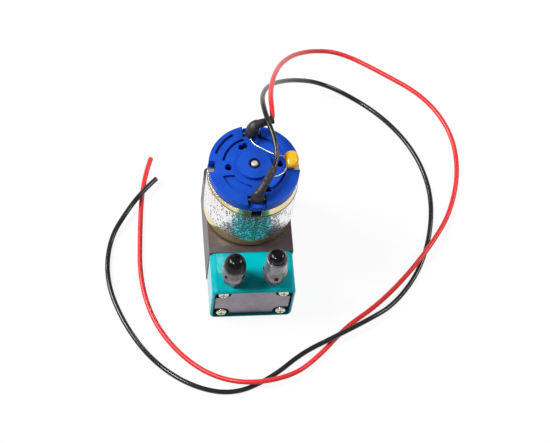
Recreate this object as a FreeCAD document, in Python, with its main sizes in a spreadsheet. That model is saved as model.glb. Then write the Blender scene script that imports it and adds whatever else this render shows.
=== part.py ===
import FreeCAD, Part
import math
import os
import re
import Sketcher
from FreeCAD import Placement, Rotation, Vector

# An ink pump: a small diaphragm pump that a brushed motor with two loose wires drives.
# Millimetres, +Z up. The origin is the middle of the base of the pump without its wires.
# The motor stands upright on the crank housing and the pump head faces -Y.

SIZES = {
    # Crank housing and its bottom cover
    "housing_width": 30.0,
    "housing_depth": 34.8,
    "housing_height": 21.0,
    "housing_corner": 2.0,
    "motor_inset": 16.5,
    "chamber_radius": 10.4,
    "roof_thickness": 3.5,
    "window_radius": 6.6,
    "mount_spacing_x": 24.0,
    "mount_spacing_y": 23.0,
    "mount_hole_radius": 1.25,
    "mount_hole_depth": 6.0,
    "cover_radius": 14.0,
    "cover_thickness": 1.6,
    "cover_recess": 0.1,
    "cover_screw_circle": 12.2,
    "cover_screw_radius": 0.8,
    "cover_screw_length": 5.4,
    "cover_screw_head": 1.7,
    "vent_radius": 1.0,
    # Motor can, label and crimp tabs
    "can_radius": 16.0,
    "can_height": 26.0,
    "can_wall": 1.2,
    "can_floor": 1.4,
    "can_foot_round": 1.2,
    "can_boss_radius": 5.0,
    "can_boss_height": 3.0,
    "can_notch_width": 3.5,
    "can_notch_depth": 3.8,
    "tab_width": 2.6,
    "tab_shift": 0.5,
    "tab_end_gap": 0.2,
    "tab_thickness": 0.8,
    "label_below": 4.5,
    "label_above": 4.2,
    "label_thickness": 0.1,
    "label_seam": 0.4,
    "label_seam_side": 0.4,
    "motor_screw_offset": 8.0,
    "motor_screw_radius": 1.25,
    "motor_screw_head": 2.1,
    "motor_screw_head_height": 1.6,
    # Blue end cap
    "cap_inset": 0.1,
    "cap_wall_height": 4.1,
    "cap_plate": 2.6,
    "cap_spigot": 2.0,
    "cap_spigot_wall": 1.2,
    "cap_boss_radius": 6.0,
    "cap_boss_top_radius": 5.8,
    "cap_boss_height": 1.4,
    "cap_hub_radius": 8.0,
    "cap_ring_radius": 11.9,
    "cap_recess": 0.9,
    "pocket_sweep": 60.0,
    "pocket_turn": 50.0,
    "cap_arm_half": 3.65,
    "cap_groove_width": 0.9,
    "cap_groove_depth": 1.0,
    "cap_groove_inner": 10.3,
    "cap_groove_outer": 13.5,
    "groove_sweep": 62.0,
    "groove_turn": 137.0,
    "edge_groove_sweep": 41.0,
    "edge_groove_turn": 138.5,
    "cap_eye_radius": 1.3,
    "cap_eye_offset": 9.0,
    "cap_eye_shift": 0.5,
    "cap_slot_radius": 1.05,
    "cap_slot_circle": 8.4,
    "cap_slot_angle": 109.0,
    "cap_slot_step": 10.0,
    "cap_front_eye_circle": 10.4,
    "cap_front_eye_angle": 65.0,
    "cap_notch_width": 4.2,
    "cap_notch_reach": 2.4,
    "cap_notch_depth": 3.6,
    "bay_half_width": 3.2,
    "bay_behind": 1.6,
    "arm_way_behind": 1.8,
    "bay_depth": 1.4,
    "bay_seam": 0.3,
    # Shaft, bearings, rotor and magnets
    "shaft_radius": 1.15,
    "shaft_above_boss": 0.4,
    "shaft_below_hub": 6.6,
    "shaft_chamfer": 0.3,
    "bush_radius": 3.0,
    "bush_height": 3.6,
    "front_bush_radius": 3.5,
    "shaft_hole_radius": 2.1,
    "core_base": 6.5,
    "core_end_space": 8.5,
    "core_poles": 5,
    "slot_inset": 3.2,
    "slot_radius": 2.1,
    "slot_mouth": 1.4,
    "coil_inset": 1.2,
    "coil_height": 2.6,
    "coil_off_shaft": 1.5,
    "commutator_radius": 3.6,
    "commutator_height": 4.6,
    "commutator_cut": 0.4,
    "commutator_neck": 1.2,
    "commutator_rise": 0.4,
    "washer_thickness": 0.4,
    "magnet_overlap": 3.0,
    "magnet_wall": 3.7,
    "magnet_arc": 130.0,
    # Brush terminals and brushes
    "terminal_inset": 1.7,
    "terminal_width": 5.6,
    "terminal_thickness": 0.5,
    "terminal_sink": 0.5,
    "tongue_width": 2.2,
    "tongue_height": 2.4,
    "brush_drop": 1.1,
    "brush_width": 2.4,
    "brush_length": 3.6,
    "brush_height": 2.6,
    # Crank, rod and its ball bearing
    "crank_throw": 0.8,
    "hub_radius": 4.2,
    "hub_height": 3.9,
    "hub_below_roof": 0.8,
    "weight_radius": 9.4,
    "weight_height": 2.0,
    "weight_off_shaft": 1.0,
    "pin_shoulder": 0.4,
    "set_screw_radius": 1.0,
    "set_screw_rise": 0.2,
    "set_screw_sink": 0.2,
    "set_screw_entry": 0.5,
    "socket_across": 0.95,
    "socket_depth": 1.2,
    "bearing_bore": 3.0,
    "bearing_radius": 6.5,
    "bearing_width": 5.0,
    "race_wall": 0.95,
    "race_wall_outer": 1.05,
    "ball_count": 7,
    "cage_half_wall": 0.25,
    "cage_half_height": 0.4,
    "rod_ring_wall": 1.7,
    "rod_height": 4.6,
    "rod_shank_width": 5.2,
    "rod_shank_flare": 1.4,
    "rod_flare_run": 2.0,
    "rod_web": 2.0,
    "rod_pocket_wall": 0.9,
    "rod_pocket_foot": 1.6,
    "rod_pocket_bite": 0.4,
    "rod_foot_radius": 4.4,
    "rod_foot_thickness": 1.5,
    # Diaphragm and what clamps it
    "diaphragm_radius": 9.2,
    "diaphragm_rim": 1.2,
    "diaphragm_sheet": 0.8,
    "diaphragm_roll": 7.4,
    "roll_shift": 0.4,
    "roll_back": 0.8,
    "roll_front": 0.6,
    "diaphragm_push": 0.8,
    "clamp_radius": 4.2,
    "clamp_thickness": 0.8,
    "clamp_chamfer": 0.4,
    "clamp_screw_radius": 1.0,
    "clamp_screw_head": 2.0,
    "clamp_screw_length": 6.5,
    # Pump head
    "head_depth": 15.6,
    "head_margin": 0.2,
    "head_corner": 2.2,
    "head_edge": 1.0,
    "head_rim": 1.0,
    "recess_depth": 3.4,
    "recess_corner": 1.4,
    "dome_depth": 2.2,
    "dome_radius": 7.5,
    "dome_floor_radius": 5.4,
    "passage_radius": 1.1,
    "passage_offset": 6.0,
    "port_offset": 7.2,
    "port_wall": 0.55,
    "port_bore_radius": 1.25,
    "valve_radius": 3.6,
    "valve_floor": 6.0,
    "disc_radius": 2.6,
    "disc_thickness": 0.8,
    "disc_travel": 0.4,
    "seat_thickness": 1.2,
    "seat_bore": 1.2,
    # Front stack: gasket, valve cover, plate and four screws
    "gasket_thickness": 0.5,
    "valve_cover_thickness": 1.1,
    "valve_cover_gap": 0.3,
    "spigot_length": 1.0,
    "plate_thickness": 0.9,
    "plate_gap": 0.55,
    "plate_corner": 0.6,
    "plate_notch": 2.9,
    "screw_offset_x": 10.7,
    "screw_offset_z": 7.15,
    "screw_radius": 1.0,
    "screw_head_radius": 2.0,
    "screw_head_height": 1.6,
    "screw_grip": 5.0,
    "cross_arm": 1.15,
    "cross_width": 0.5,
    "cross_depth": 0.8,
    # Hose fittings, nuts and caps
    "stem_radius": 1.65,
    "stem_length": 4.6,
    "foot_height": 0.3,
    "hex_across": 7.0,
    "hex_height": 3.5,
    "hex_chamfer": 0.5,
    "neck_radius": 2.9,
    "neck_height": 1.4,
    "nipple_radius": 2.0,
    "nipple_height": 5.8,
    "nipple_bore": 1.1,
    "nut_flange_radius": 4.35,
    "nut_flange_height": 2.6,
    "nut_cone_height": 2.6,
    "nut_radius": 3.8,
    "nut_chamfer": 0.3,
    "left_nut_height": 7.1,
    "right_nut_height": 10.8,
    "nut_inner_radius": 3.05,
    "nut_floor": 1.2,
    "nut_notch_width": 1.4,
    "nut_notch_depth": 0.8,
    "nut_notch_start": 1.6,
    "nut_notch_height": 2.2,
    "nut_notches": 4,
    "stopper_radius": 2.9,
    "stopper_tip_radius": 2.35,
    "stopper_length": 10.3,
    "stopper_depth": 5.8,
    "stopper_round": 2.0,
    "left_stopper_lift": 0.3,
    "right_stopper_lift": 2.7,
    "ring_radius": 2.3,
    "ring_thickness": 0.5,
    # Capacitor, sleeves and wires
    "capacitor_width": 6.0,
    "capacitor_depth": 6.6,
    "capacitor_thickness": 3.2,
    "capacitor_side_round": 2.1,
    "capacitor_edge_round": 1.4,
    "capacitor_lift": 0.5,
    "capacitor_turn": -8.0,
    "lead_diameter": 0.5,
    "capacitor_out": 12.3,
    "capacitor_back": 0.8,
    "front_sleeve_diameter": 3.3,
    "rear_sleeve_diameter": 2.7,
    "front_foot_half": 2.2,
    "rear_foot_half": 2.0,
    "foot_flatness": 0.8,
    "knee_flatness": 0.95,
    "wire_diameter": 1.8,
    # Fits
    "running_gap": 0.03,
    "slip_gap": 0.05,
    "hole_gap": 0.15,
    "air_gap": 0.4,
    "cut_past": 1.0,
}

# Sizes that follow from what a piece fits, as formulas of the sizes above
FITTED = {
    "cap_radius": "can_radius - cap_inset",
    "terminal_offset": "can_radius - can_wall - terminal_inset",
    "core_radius": "can_radius - can_wall - slip_gap - magnet_wall - air_gap",
    "core_height": "can_height - core_base - core_end_space",
    "magnet_height": "core_height + 2 * magnet_overlap",
    "slot_circle": "core_radius - slot_inset",
    "coil_radius": "core_radius - coil_inset",
    "port_forward": "head_depth - recess_depth - stem_radius - port_wall",
}

# Places that several pieces share, as formulas of the sizes
MOTOR_Y = "((housing_depth + head_depth) / 2 - motor_inset)"
JOINT_Y = "(head_depth - (housing_depth + head_depth) / 2)"
JOINT_AHEAD = "(housing_depth - motor_inset)"
PUMP_Z = "(housing_height / 2)"
CAN_TOP = "(housing_height + can_height)"
CAP_FACE = "(housing_height + can_height + cap_wall_height)"
COMMUTATOR_LOW = f"({CAN_TOP} - brush_drop + commutator_rise - commutator_height)"
HUB_TOP = "(housing_height - can_boss_height - hub_below_roof)"
BEARING_LOW = f"({PUMP_Z} - bearing_width / 2)"
BEARING_HIGH = f"({PUMP_Z} + bearing_width / 2)"
HEAD_TOP = "(housing_height - head_margin)"
COVER_FACE = "(head_depth - recess_depth + gasket_thickness + valve_cover_thickness)"
NIPPLE_TOP = "(foot_height + hex_height + neck_height + nipple_height)"

doc = FreeCAD.newDocument("InkPump")
sheet = doc.addObject("Spreadsheet::Sheet", "Dimensions")
parts = []


def fill_sheet():
    """Write each size in its own cell, then the fitted ones as the sheet's own formulas."""
    cells = {name: str(size) for name, size in SIZES.items()}
    cells.update({name: "=" + formula for name, formula in FITTED.items()})
    for row, (name, content) in enumerate(cells.items(), 1):
        sheet.set(f"A{row}", name)
        sheet.set(f"B{row}", content)
        sheet.setAlias(f"B{row}", name)
    doc.recompute()


def linked(formula):
    """The formula with each size written as its cell of the sheet."""
    names = SIZES.keys() | FITTED.keys()
    return re.sub(r"[a-z_]+", lambda w: f"Dimensions.{w[0]}" if w[0] in names else w[0], formula)


def value(formula):
    return float(sheet.evalExpression(formula))


def new_body(label, x="0", y="0", z="0", forward=False):
    """A body placed by formulas. A forward one has its own Z along the row's -Y and its Y up."""
    body = doc.addObject("PartDesign::Body", label)
    body.Label = label
    body.AllowCompound = True
    if forward:
        body.Placement = Placement(Vector(), Rotation(Vector(1, 0, 0), 90))
    for axis, formula in zip("xyz", (x, y, z)):
        body.setExpression(f"Placement.Base.{axis}", linked(formula))
    parts.append(body)
    return body


def new_sketch(body, name, plane="XY_Plane", start="0", turn="0"):
    """A sketch on one of the body's planes, moved along its normal and turned about its upright."""
    sketch = body.newObject("Sketcher::SketchObject", f"{body.Label}_{name}")
    origin = next(item for item in body.Origin.OriginFeatures if item.Role == plane)
    sketch.AttachmentSupport = [(origin, "")]
    sketch.MapMode = "FlatFace"
    sketch.AttachmentOffset = Placement(Vector(), Rotation(Vector(0, 1, 0), value(turn)))
    sketch.setExpression("AttachmentOffset.Base.z", linked(start))
    if turn != "0":
        sketch.setExpression("AttachmentOffset.Rotation.Angle", linked(turn))
    return sketch


def pin_point(sketch, geometry, place, x, y):
    """Hold a point of the sketch at x, y from its origin."""
    for kind, formula in (("DistanceX", x), ("DistanceY", y)):
        distance = Sketcher.Constraint(kind, -1, 1, geometry, place, value(formula))
        number = sketch.addConstraint(distance)
        sketch.setExpression(f"Constraints[{number}]", linked(formula))


def outline(sketch, points):
    """Draw a closed straight-sided outline through points given as pairs of formulas."""
    first = sketch.GeometryCount
    count = len(points)
    corners = [Vector(value(x), value(y), 0) for x, y in points]
    for number in range(count):
        side = Part.LineSegment(corners[number], corners[(number + 1) % count])
        sketch.addGeometry(side, False)
    for number in range(count):
        joined = (first + number, 2, first + (number + 1) % count, 1)
        sketch.addConstraint(Sketcher.Constraint("Coincident", *joined))
    for number, (x, y) in enumerate(points):
        pin_point(sketch, first + number, 1, x, y)


def rectangle(sketch, left, low, right, high):
    outline(sketch, [(left, low), (right, low), (right, high), (left, high)])


def circle(sketch, x, y, radius):
    centre = Vector(value(x), value(y), 0)
    ring = sketch.addGeometry(Part.Circle(centre, Vector(0, 0, 1), value(radius)), False)
    pin_point(sketch, ring, 3, x, y)
    number = sketch.addConstraint(Sketcher.Constraint("Radius", ring, value(radius)))
    sketch.setExpression(f"Constraints[{number}]", linked(radius))


def cross(sketch, x, y, arm, half):
    """Draw the outline of a cross with arms of that reach and half width."""
    signs = [(1, 1), (-1, 1), (-1, -1), (1, -1)]
    points = []
    for number, (sx, sy) in enumerate(signs):
        long_x = (f"{x} + {sx} * {arm}", f"{y} + {sy} * {half}")
        inner = (f"{x} + {sx} * {half}", f"{y} + {sy} * {half}")
        long_y = (f"{x} + {sx} * {half}", f"{y} + {sy} * {arm}")
        points += [long_x, inner, long_y] if number % 2 == 0 else [long_y, inner, long_x]
    outline(sketch, points)


def extrude(body, sketch, length, cut=False):
    """Pad the sketch along its plane's normal, or cut it away as far."""
    feature = body.newObject("PartDesign::Pocket" if cut else "PartDesign::Pad", sketch.Name + "_run")
    feature.Profile = sketch
    feature.setExpression("Length", linked(length))
    feature.Reversed = cut
    return feature


def revolve(body, sketch, cut=False, sweep="360"):
    """Turn the sketch about its upright axis, evenly to both sides of its plane."""
    kind = "PartDesign::Groove" if cut else "PartDesign::Revolution"
    feature = body.newObject(kind, sketch.Name + "_turn")
    feature.Profile = sketch
    feature.ReferenceAxis = (sketch, ["V_Axis"])
    feature.Midplane = True
    feature.setExpression("Angle", linked(sweep))
    return feature


def block(body, name, left, low, right, high, start, length, cut=False):
    """Add or cut a box: a rectangle on the XY plane, raised by start, of that length."""
    sketch = new_sketch(body, name, start=start)
    rectangle(sketch, left, low, right, high)
    return extrude(body, sketch, length, cut)


def rod(body, name, places, radius, start, length, cut=False, plane="XY_Plane"):
    """Add or cut round bars of one radius at several places of a plane."""
    sketch = new_sketch(body, name, plane, start)
    for x, y in places:
        circle(sketch, x, y, radius)
    return extrude(body, sketch, length, cut)


def turned(body, name, points, cut=False, sweep="360", turn="0"):
    """Add or cut a turned shape whose half outline is given as radius and height."""
    sketch = new_sketch(body, name, "XZ_Plane", turn=turn)
    outline(sketch, points)
    return revolve(body, sketch, cut, sweep)


def ring_section(inner, outer, low, high):
    """The half outline of a plain ring, from its inner low corner."""
    return [(inner, low), (outer, low), (outer, high), (inner, high)]


def ring_of(body, feature, count):
    """Repeat a feature round the body's Z axis."""
    pattern = body.newObject("PartDesign::PolarPattern", feature.Name + "_ring")
    pattern.Originals = [feature]
    upright = next(item for item in body.Origin.OriginFeatures if item.Role == "Z_Axis")
    pattern.Axis = (upright, [""])
    pattern.Angle = 360
    pattern.setExpression("Occurrences", linked(count))
    body.Tip = pattern
    return pattern


def soften(body, radius, chosen, chamfer=False):
    """Round or chamfer the edges of the body so far that the test chooses."""
    doc.recompute()
    base = body.Tip
    names = [f"Edge{n}" for n, edge in enumerate(base.Shape.Edges, 1) if chosen(edge)]
    if not names:
        raise ValueError(f"{body.Label} has no edge to soften")
    kind = "PartDesign::Chamfer" if chamfer else "PartDesign::Fillet"
    feature = body.newObject(kind, f"{body.Label}_soft")
    feature.Base = (base, names)
    feature.setExpression("Size" if chamfer else "Radius", linked(radius))
    return feature


def near(first, second):
    return abs(first - second) < 0.01


def level_with(edge, z):
    """Whether an edge lies flat at that height of the body."""
    return near(edge.BoundBox.ZMin, z) and near(edge.BoundBox.ZMax, z)


def upright_corner(edge, x, y):
    """Whether an edge runs along the body's Z at those distances from its origin."""
    box = edge.BoundBox
    middle = box.Center
    runs_up = box.ZLength > 0.3 and box.XLength < 0.01 and box.YLength < 0.01
    return runs_up and near(abs(middle.x), x) and near(middle.y, y)


def full_circle(edge, radius, z):
    """Whether an edge is a circle of that radius round Z at that height."""
    if not isinstance(edge.Curve, Part.Circle):
        return False
    return near(edge.Curve.Radius, radius) and near(edge.Curve.Center.z, z)


def make_crank_housing():
    body = new_body("crank_housing", y=MOTOR_Y)
    half = "housing_width / 2"
    block(body, "block", f"-{half}", f"-{JOINT_AHEAD}", half, "motor_inset", "0", "housing_height")
    across = value(half)
    back = value("motor_inset")
    soften(body, "housing_corner", lambda edge: upright_corner(edge, across, back))
    chamber_height = "housing_height - roof_thickness"
    rod(body, "chamber", [("0", "0")], "chamber_radius", "0", chamber_height, cut=True)
    cover_seat = "cover_thickness + cover_recess"
    rod(body, "cover_seat", [("0", "0")], "cover_radius + hole_gap", "0", cover_seat, cut=True)
    rod(body, "boss_hole", [("0", "0")], "can_boss_radius + slip_gap", "0", "housing_height", cut=True)
    motor_screws = [("-motor_screw_offset", "0"), ("motor_screw_offset", "0")]
    radius = "motor_screw_radius + hole_gap"
    rod(body, "motor_screw_holes", motor_screws, radius, "0", "housing_height", cut=True)
    window = ("0", PUMP_Z)
    length = f"{JOINT_AHEAD} - crank_throw"
    rod(body, "window", [window], "window_radius", "crank_throw", length, True, "XZ_Plane")
    start = f"{JOINT_AHEAD} - screw_grip - hole_gap"
    length = "screw_grip + hole_gap"
    rod(body, "head_threads", screw_places(PUMP_Z), "screw_radius", start, length, True, "XZ_Plane")
    corners = [(f"{sx} * mount_spacing_x / 2", f"{sy} * mount_spacing_y / 2")
               for sx in (-1, 1) for sy in (-1, 1)]
    rod(body, "mount_threads", corners, "mount_hole_radius", "0", "mount_hole_depth", cut=True)
    length = "cover_screw_length + cover_recess"
    rod(body, "cover_threads", cover_screw_places(), "cover_screw_radius", "0", length, cut=True)


def screw_places(z):
    """The four corners where the head's screws go, round a height."""
    places = []
    for side in (-1, 1):
        for level in (-1, 1):
            places.append((f"{side} * screw_offset_x", f"{z} + {level} * screw_offset_z"))
    return places


def cover_screw_places():
    """Three places round the crank chamber, the first at the back."""
    angles = (90, 210, 330)
    return [(f"cover_screw_circle * cos({a} deg)", f"cover_screw_circle * sin({a} deg)") for a in angles]


def make_bottom_cover():
    body = new_body("bottom_cover", y=MOTOR_Y, z="cover_recess")
    rod(body, "disc", [("0", "0")], "cover_radius", "0", "cover_thickness")
    rod(body, "vent", [("0", "0")], "vent_radius", "0", "cover_thickness", cut=True)
    for number, place in enumerate(cover_screw_places()):
        radius = "cover_screw_head + slip_gap"
        rod(body, f"sink{number}", [place], radius, "0", "cover_thickness / 2", cut=True)
        radius = "cover_screw_radius + hole_gap"
        rod(body, f"hole{number}", [place], radius, "0", "cover_thickness", cut=True)


def make_bottom_cover_screws():
    body = new_body("bottom_cover_screws", y=MOTOR_Y, z="cover_recess")
    places = cover_screw_places()
    rod(body, "heads", places, "cover_screw_head", "0", "cover_thickness / 2")
    length = "cover_screw_length - cover_thickness / 2"
    rod(body, "shanks", places, "cover_screw_radius", "cover_thickness / 2", length)


def make_motor_can():
    body = new_body("motor_can", y=MOTOR_Y, z="housing_height")
    inner = "can_radius - can_wall"
    turned(body, "shell", [
        ("front_bush_radius", "-can_boss_height"), ("can_boss_radius", "-can_boss_height"),
        ("can_boss_radius", "0"), ("can_radius", "0"), ("can_radius", "can_height"),
        (inner, "can_height"), (inner, "can_floor"), ("front_bush_radius", "can_floor"),
    ])
    radius = value("can_radius")
    soften(body, "can_foot_round", lambda edge: full_circle(edge, radius, 0))
    screws = [("-motor_screw_offset", "0"), ("motor_screw_offset", "0")]
    radius = "motor_screw_radius + slip_gap"
    rod(body, "taps", screws, radius, "0", "can_floor", cut=True)
    notch = "can_notch_width / 2"
    start = "can_height - can_notch_depth"
    block(body, "notch", f"-{notch}", "-can_radius", notch, "can_radius", start, "can_notch_depth", True)
    rise = f"{CAP_FACE} - cap_notch_depth + slip_gap - {CAN_TOP}"
    for name, side in (("left", -1), ("right", 1)):
        outer = f"{side} * (can_radius - cap_inset)"
        wall = f"{side} * (can_radius - tab_thickness)"
        reach = f"{side} * (cap_radius - cap_notch_reach + tab_end_gap)"
        low = f"{side} * tab_shift - tab_width / 2"
        high = f"{side} * tab_shift + tab_width / 2"
        start = "can_height - tab_thickness"
        length = f"{rise} + 2 * tab_thickness"
        block(body, name + "_tab", wall, low, outer, high, start, length)
        start = f"can_height + {rise}"
        block(body, name + "_fold", wall, low, reach, high, start, "tab_thickness")


def make_motor_label():
    body = new_body("motor_label", y=MOTOR_Y, z="housing_height")
    inner = "can_radius + running_gap"
    outer = "can_radius + running_gap + label_thickness"
    low = "label_below"
    high = "can_height - label_above"
    section = ring_section(inner, outer, low, high)
    sweep = "360 - label_seam / can_radius * 180 / pi"
    turned(body, "wrap", section, sweep=sweep, turn="90 + label_seam_side / can_radius * 180 / pi")


def make_end_cap():
    """The blue cap: a turned cup with a boss, two pockets, arc grooves and two terminal bays."""
    body = new_body("end_cap", y=MOTOR_Y, z=CAP_FACE)
    spigot = "can_radius - can_wall - hole_gap"
    spigot_in = f"{spigot} - cap_spigot_wall"
    seat = "-cap_wall_height"
    bush = "bush_radius + slip_gap"
    turned(body, "cup", [
        ("shaft_hole_radius", "cap_boss_height"), ("cap_boss_top_radius", "cap_boss_height"),
        ("cap_boss_radius", "0"), ("cap_radius", "0"), ("cap_radius", seat), (spigot, seat),
        (spigot, f"{seat} - cap_spigot"), (spigot_in, f"{seat} - cap_spigot"),
        (spigot_in, "-cap_plate"), ("cap_boss_radius", "-cap_plate"),
        ("cap_boss_radius", "cap_boss_height / 2 - bush_height - running_gap"),
        (bush, "cap_boss_height / 2 - bush_height - running_gap"), (bush, "cap_boss_height / 2"),
        ("shaft_hole_radius", "cap_boss_height / 2"),
    ])
    recess = ring_section("cap_hub_radius", "cap_ring_radius", "0", "-cap_recess")
    turned(body, "pocket_front", recess, True, "pocket_sweep", "pocket_turn - 180")
    turned(body, "pocket_back", recess, True, "pocket_sweep", "pocket_turn")
    inner = arc_groove("cap_groove_inner")
    outer = arc_groove("cap_groove_outer")
    turned(body, "groove_left", inner, True, "groove_sweep", "groove_turn")
    turned(body, "groove_right", inner, True, "groove_sweep", "groove_turn - 180")
    turned(body, "groove_edge", outer, True, "edge_groove_sweep", "edge_groove_turn")
    arm = "cap_ring_radius"
    start = "-cap_recess"
    block(body, "arm_left", f"-{arm}", "-cap_arm_half", "-cap_boss_radius", "0", start, "cap_recess")
    block(body, "arm_right", "cap_boss_radius", "0", arm, "cap_arm_half", start, "cap_recess")
    eyes = [("-cap_eye_offset", "-cap_eye_shift"), ("cap_eye_offset", "cap_eye_shift")]
    rod(body, "eyes", eyes, "cap_eye_radius", "-cap_plate", "cap_plate", cut=True)
    radius = "cap_slot_radius"
    for name, angle in (("slot_a", "cap_slot_angle"), ("slot_b", "(cap_slot_angle + cap_slot_step)")):
        place = (f"cap_slot_circle * cos({angle} * 1 deg)", f"cap_slot_circle * sin({angle} * 1 deg)")
        rod(body, name, [place], radius, "-cap_plate", "cap_plate", cut=True)
    place = ("cap_front_eye_circle * cos(cap_front_eye_angle * 1 deg)",
             "-cap_front_eye_circle * sin(cap_front_eye_angle * 1 deg)")
    rod(body, "front_eye", [place], radius, "-cap_plate", "cap_plate", cut=True)
    notch = "cap_notch_width / 2"
    for name, side in (("left", -1), ("right", 1)):
        outer = f"{side} * (cap_radius + cut_past)"
        inner = f"{side} * (cap_radius - cap_notch_reach)"
        start = "-cap_notch_depth"
        block(body, name + "_notch", outer, f"-{notch}", inner, notch, start, "cap_notch_depth", True)
        inner = f"{side} * (can_radius - tab_thickness - slip_gap)"
        low = f"{side} * tab_shift - tab_width / 2 - slip_gap"
        high = f"{side} * tab_shift + tab_width / 2 + slip_gap"
        start = "-cap_wall_height"
        block(body, name + "_tab_way", outer, low, inner, high, start, "cap_wall_height", True)
    for name, side in (("front", -1), ("back", 1)):
        outer = f"{side} * (cap_radius + cut_past)"
        inner = f"{side} * (terminal_offset - bay_behind)"
        wide = "bay_half_width"
        block(body, name + "_bay", f"-{wide}", outer, wide, inner, "-bay_depth", "bay_depth", True)
        for edge, turn in (("left", -1), ("right", 1)):
            near_x = f"{turn} * (bay_half_width - bay_seam)"
            far_x = f"{turn} * bay_half_width"
            inner = f"{side} * (cap_radius - 2 * bay_seam)"
            seam = f"{name}_{edge}_seam"
            block(body, seam, near_x, outer, far_x, inner, "-cap_wall_height", "cap_wall_height", True)
        half = "(terminal_width / 2 + slip_gap)"
        outer = f"{side} * (terminal_offset + terminal_thickness / 2 + slip_gap)"
        inner = f"{side} * (terminal_offset - terminal_thickness / 2 - slip_gap)"
        start = "-cap_wall_height - cap_spigot"
        length = "cap_wall_height + cap_spigot"
        block(body, name + "_slot", f"-{half}", outer, half, inner, start, length, True)
        inner = f"{side} * (terminal_offset - arm_way_behind)"
        length = "cap_wall_height + cap_spigot - cap_plate"
        block(body, name + "_arm_way", f"-{half}", outer, half, inner, start, length, True)


def arc_groove(inner):
    """The section of a groove in the cap's face that starts at a radius."""
    return ring_section(inner, f"{inner} + cap_groove_width", "0", "-cap_groove_depth")


def make_brush_terminals():
    body = new_body("brush_terminals", y=MOTOR_Y, z=CAP_FACE)
    low = "-cap_wall_height - brush_drop"
    rise = "cap_wall_height + brush_drop - terminal_sink"
    half = "terminal_width / 2"
    arm = "brush_width / 2"
    for name, side in (("front", -1), ("back", 1)):
        outer = f"{side} * (terminal_offset + terminal_thickness / 2)"
        inner = f"{side} * (terminal_offset - terminal_thickness / 2)"
        end = f"{side} * (commutator_radius + slip_gap + brush_length)"
        end_out = f"{side} * (commutator_radius + slip_gap + brush_length + terminal_thickness)"
        block(body, name + "_strip", f"-{half}", outer, half, inner, low, rise)
        start = "-terminal_sink"
        tongue = "tongue_width / 2"
        block(body, name + "_tongue", f"-{tongue}", outer, tongue, inner, start, "tongue_height")
        block(body, name + "_arm", f"-{arm}", inner, arm, end, low, "terminal_thickness")
        start = f"{low} - brush_height"
        block(body, name + "_holder", f"-{arm}", end_out, arm, end, start, "brush_height")


def make_carbon_brushes():
    low = f"{CAP_FACE} - cap_wall_height - brush_drop - brush_height"
    body = new_body("carbon_brushes", y=MOTOR_Y, z=low)
    half = "brush_width / 2"
    for name, side in (("front", -1), ("back", 1)):
        inner = f"{side} * (commutator_radius + slip_gap)"
        outer = f"{side} * (commutator_radius + slip_gap + brush_length)"
        block(body, name, f"-{half}", inner, half, outer, "0", "brush_height - slip_gap")


def make_motor_magnets():
    body = new_body("motor_magnets", y=MOTOR_Y, z="housing_height + can_floor")
    outer = "can_radius - can_wall - slip_gap"
    inner = f"{outer} - magnet_wall"
    low = "core_base + core_height / 2 - can_floor - magnet_height / 2"
    high = f"{low} + magnet_height"
    section = ring_section(inner, outer, low, high)
    turned(body, "left", section, sweep="magnet_arc", turn="180")
    turned(body, "right", section, sweep="magnet_arc", turn="0")


def make_front_bearing():
    body = new_body("front_bearing", y=MOTOR_Y, z="housing_height - can_boss_height")
    bore = "shaft_radius + running_gap"
    turned(body, "bush", ring_section(bore, "front_bush_radius", "slip_gap", "bush_height"))


def make_rear_bearing():
    body = new_body("rear_bearing", y=MOTOR_Y, z=f"{CAP_FACE} + cap_boss_height / 2")
    bore = "shaft_radius + running_gap"
    turned(body, "bush", ring_section(bore, "bush_radius", "-bush_height", "-running_gap"))


def make_motor_screws():
    body = new_body("motor_screws", y=MOTOR_Y, z="housing_height")
    places = [("-motor_screw_offset", "0"), ("motor_screw_offset", "0")]
    start = "-roof_thickness - motor_screw_head_height"
    rod(body, "heads", places, "motor_screw_head", start, "motor_screw_head_height")
    length = "roof_thickness + can_floor"
    rod(body, "shanks", places, "motor_screw_radius", "-roof_thickness", length)


def make_motor_shaft():
    body = new_body("motor_shaft", y=MOTOR_Y, z=HUB_TOP)
    low = "-hub_height - shaft_below_hub"
    high = f"{CAP_FACE} + cap_boss_height + shaft_above_boss - {HUB_TOP}"
    turned(body, "bar", [
        ("0", low), ("shaft_radius", low), ("shaft_radius", f"{high} - shaft_chamfer"),
        ("shaft_radius - shaft_chamfer", high), ("0", high),
    ])


def make_rotor_core():
    """The laminated rotor: a cylinder with round slots that open at the rim."""
    body = new_body("rotor_core", y=MOTOR_Y, z="housing_height + core_base")
    turned(body, "stack", ring_section("shaft_radius", "core_radius", "0", "core_height"))
    sketch = new_sketch(body, "slot")
    circle(sketch, "slot_circle", "0", "slot_radius")
    slot = extrude(body, sketch, "core_height", cut=True)
    ring_of(body, slot, "core_poles")
    sketch = new_sketch(body, "mouth")
    rectangle(sketch, "slot_circle", "-slot_mouth / 2", "core_radius + cut_past", "slot_mouth / 2")
    mouth = extrude(body, sketch, "core_height", cut=True)
    ring_of(body, mouth, "core_poles")


def make_rotor_windings():
    body = new_body("rotor_windings", y=MOTOR_Y, z="housing_height + core_base")
    inner = "shaft_radius + coil_off_shaft"
    turned(body, "low_ring", ring_section(inner, "coil_radius", "-coil_height", "0"))
    sketch = new_sketch(body, "slot_fill")
    circle(sketch, "slot_circle", "0", "slot_radius - slip_gap")
    fill = extrude(body, sketch, "core_height")
    ring_of(body, fill, "core_poles")
    top = "core_height + coil_height"
    turned(body, "high_ring", ring_section(inner, "coil_radius", "core_height", top))


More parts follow.
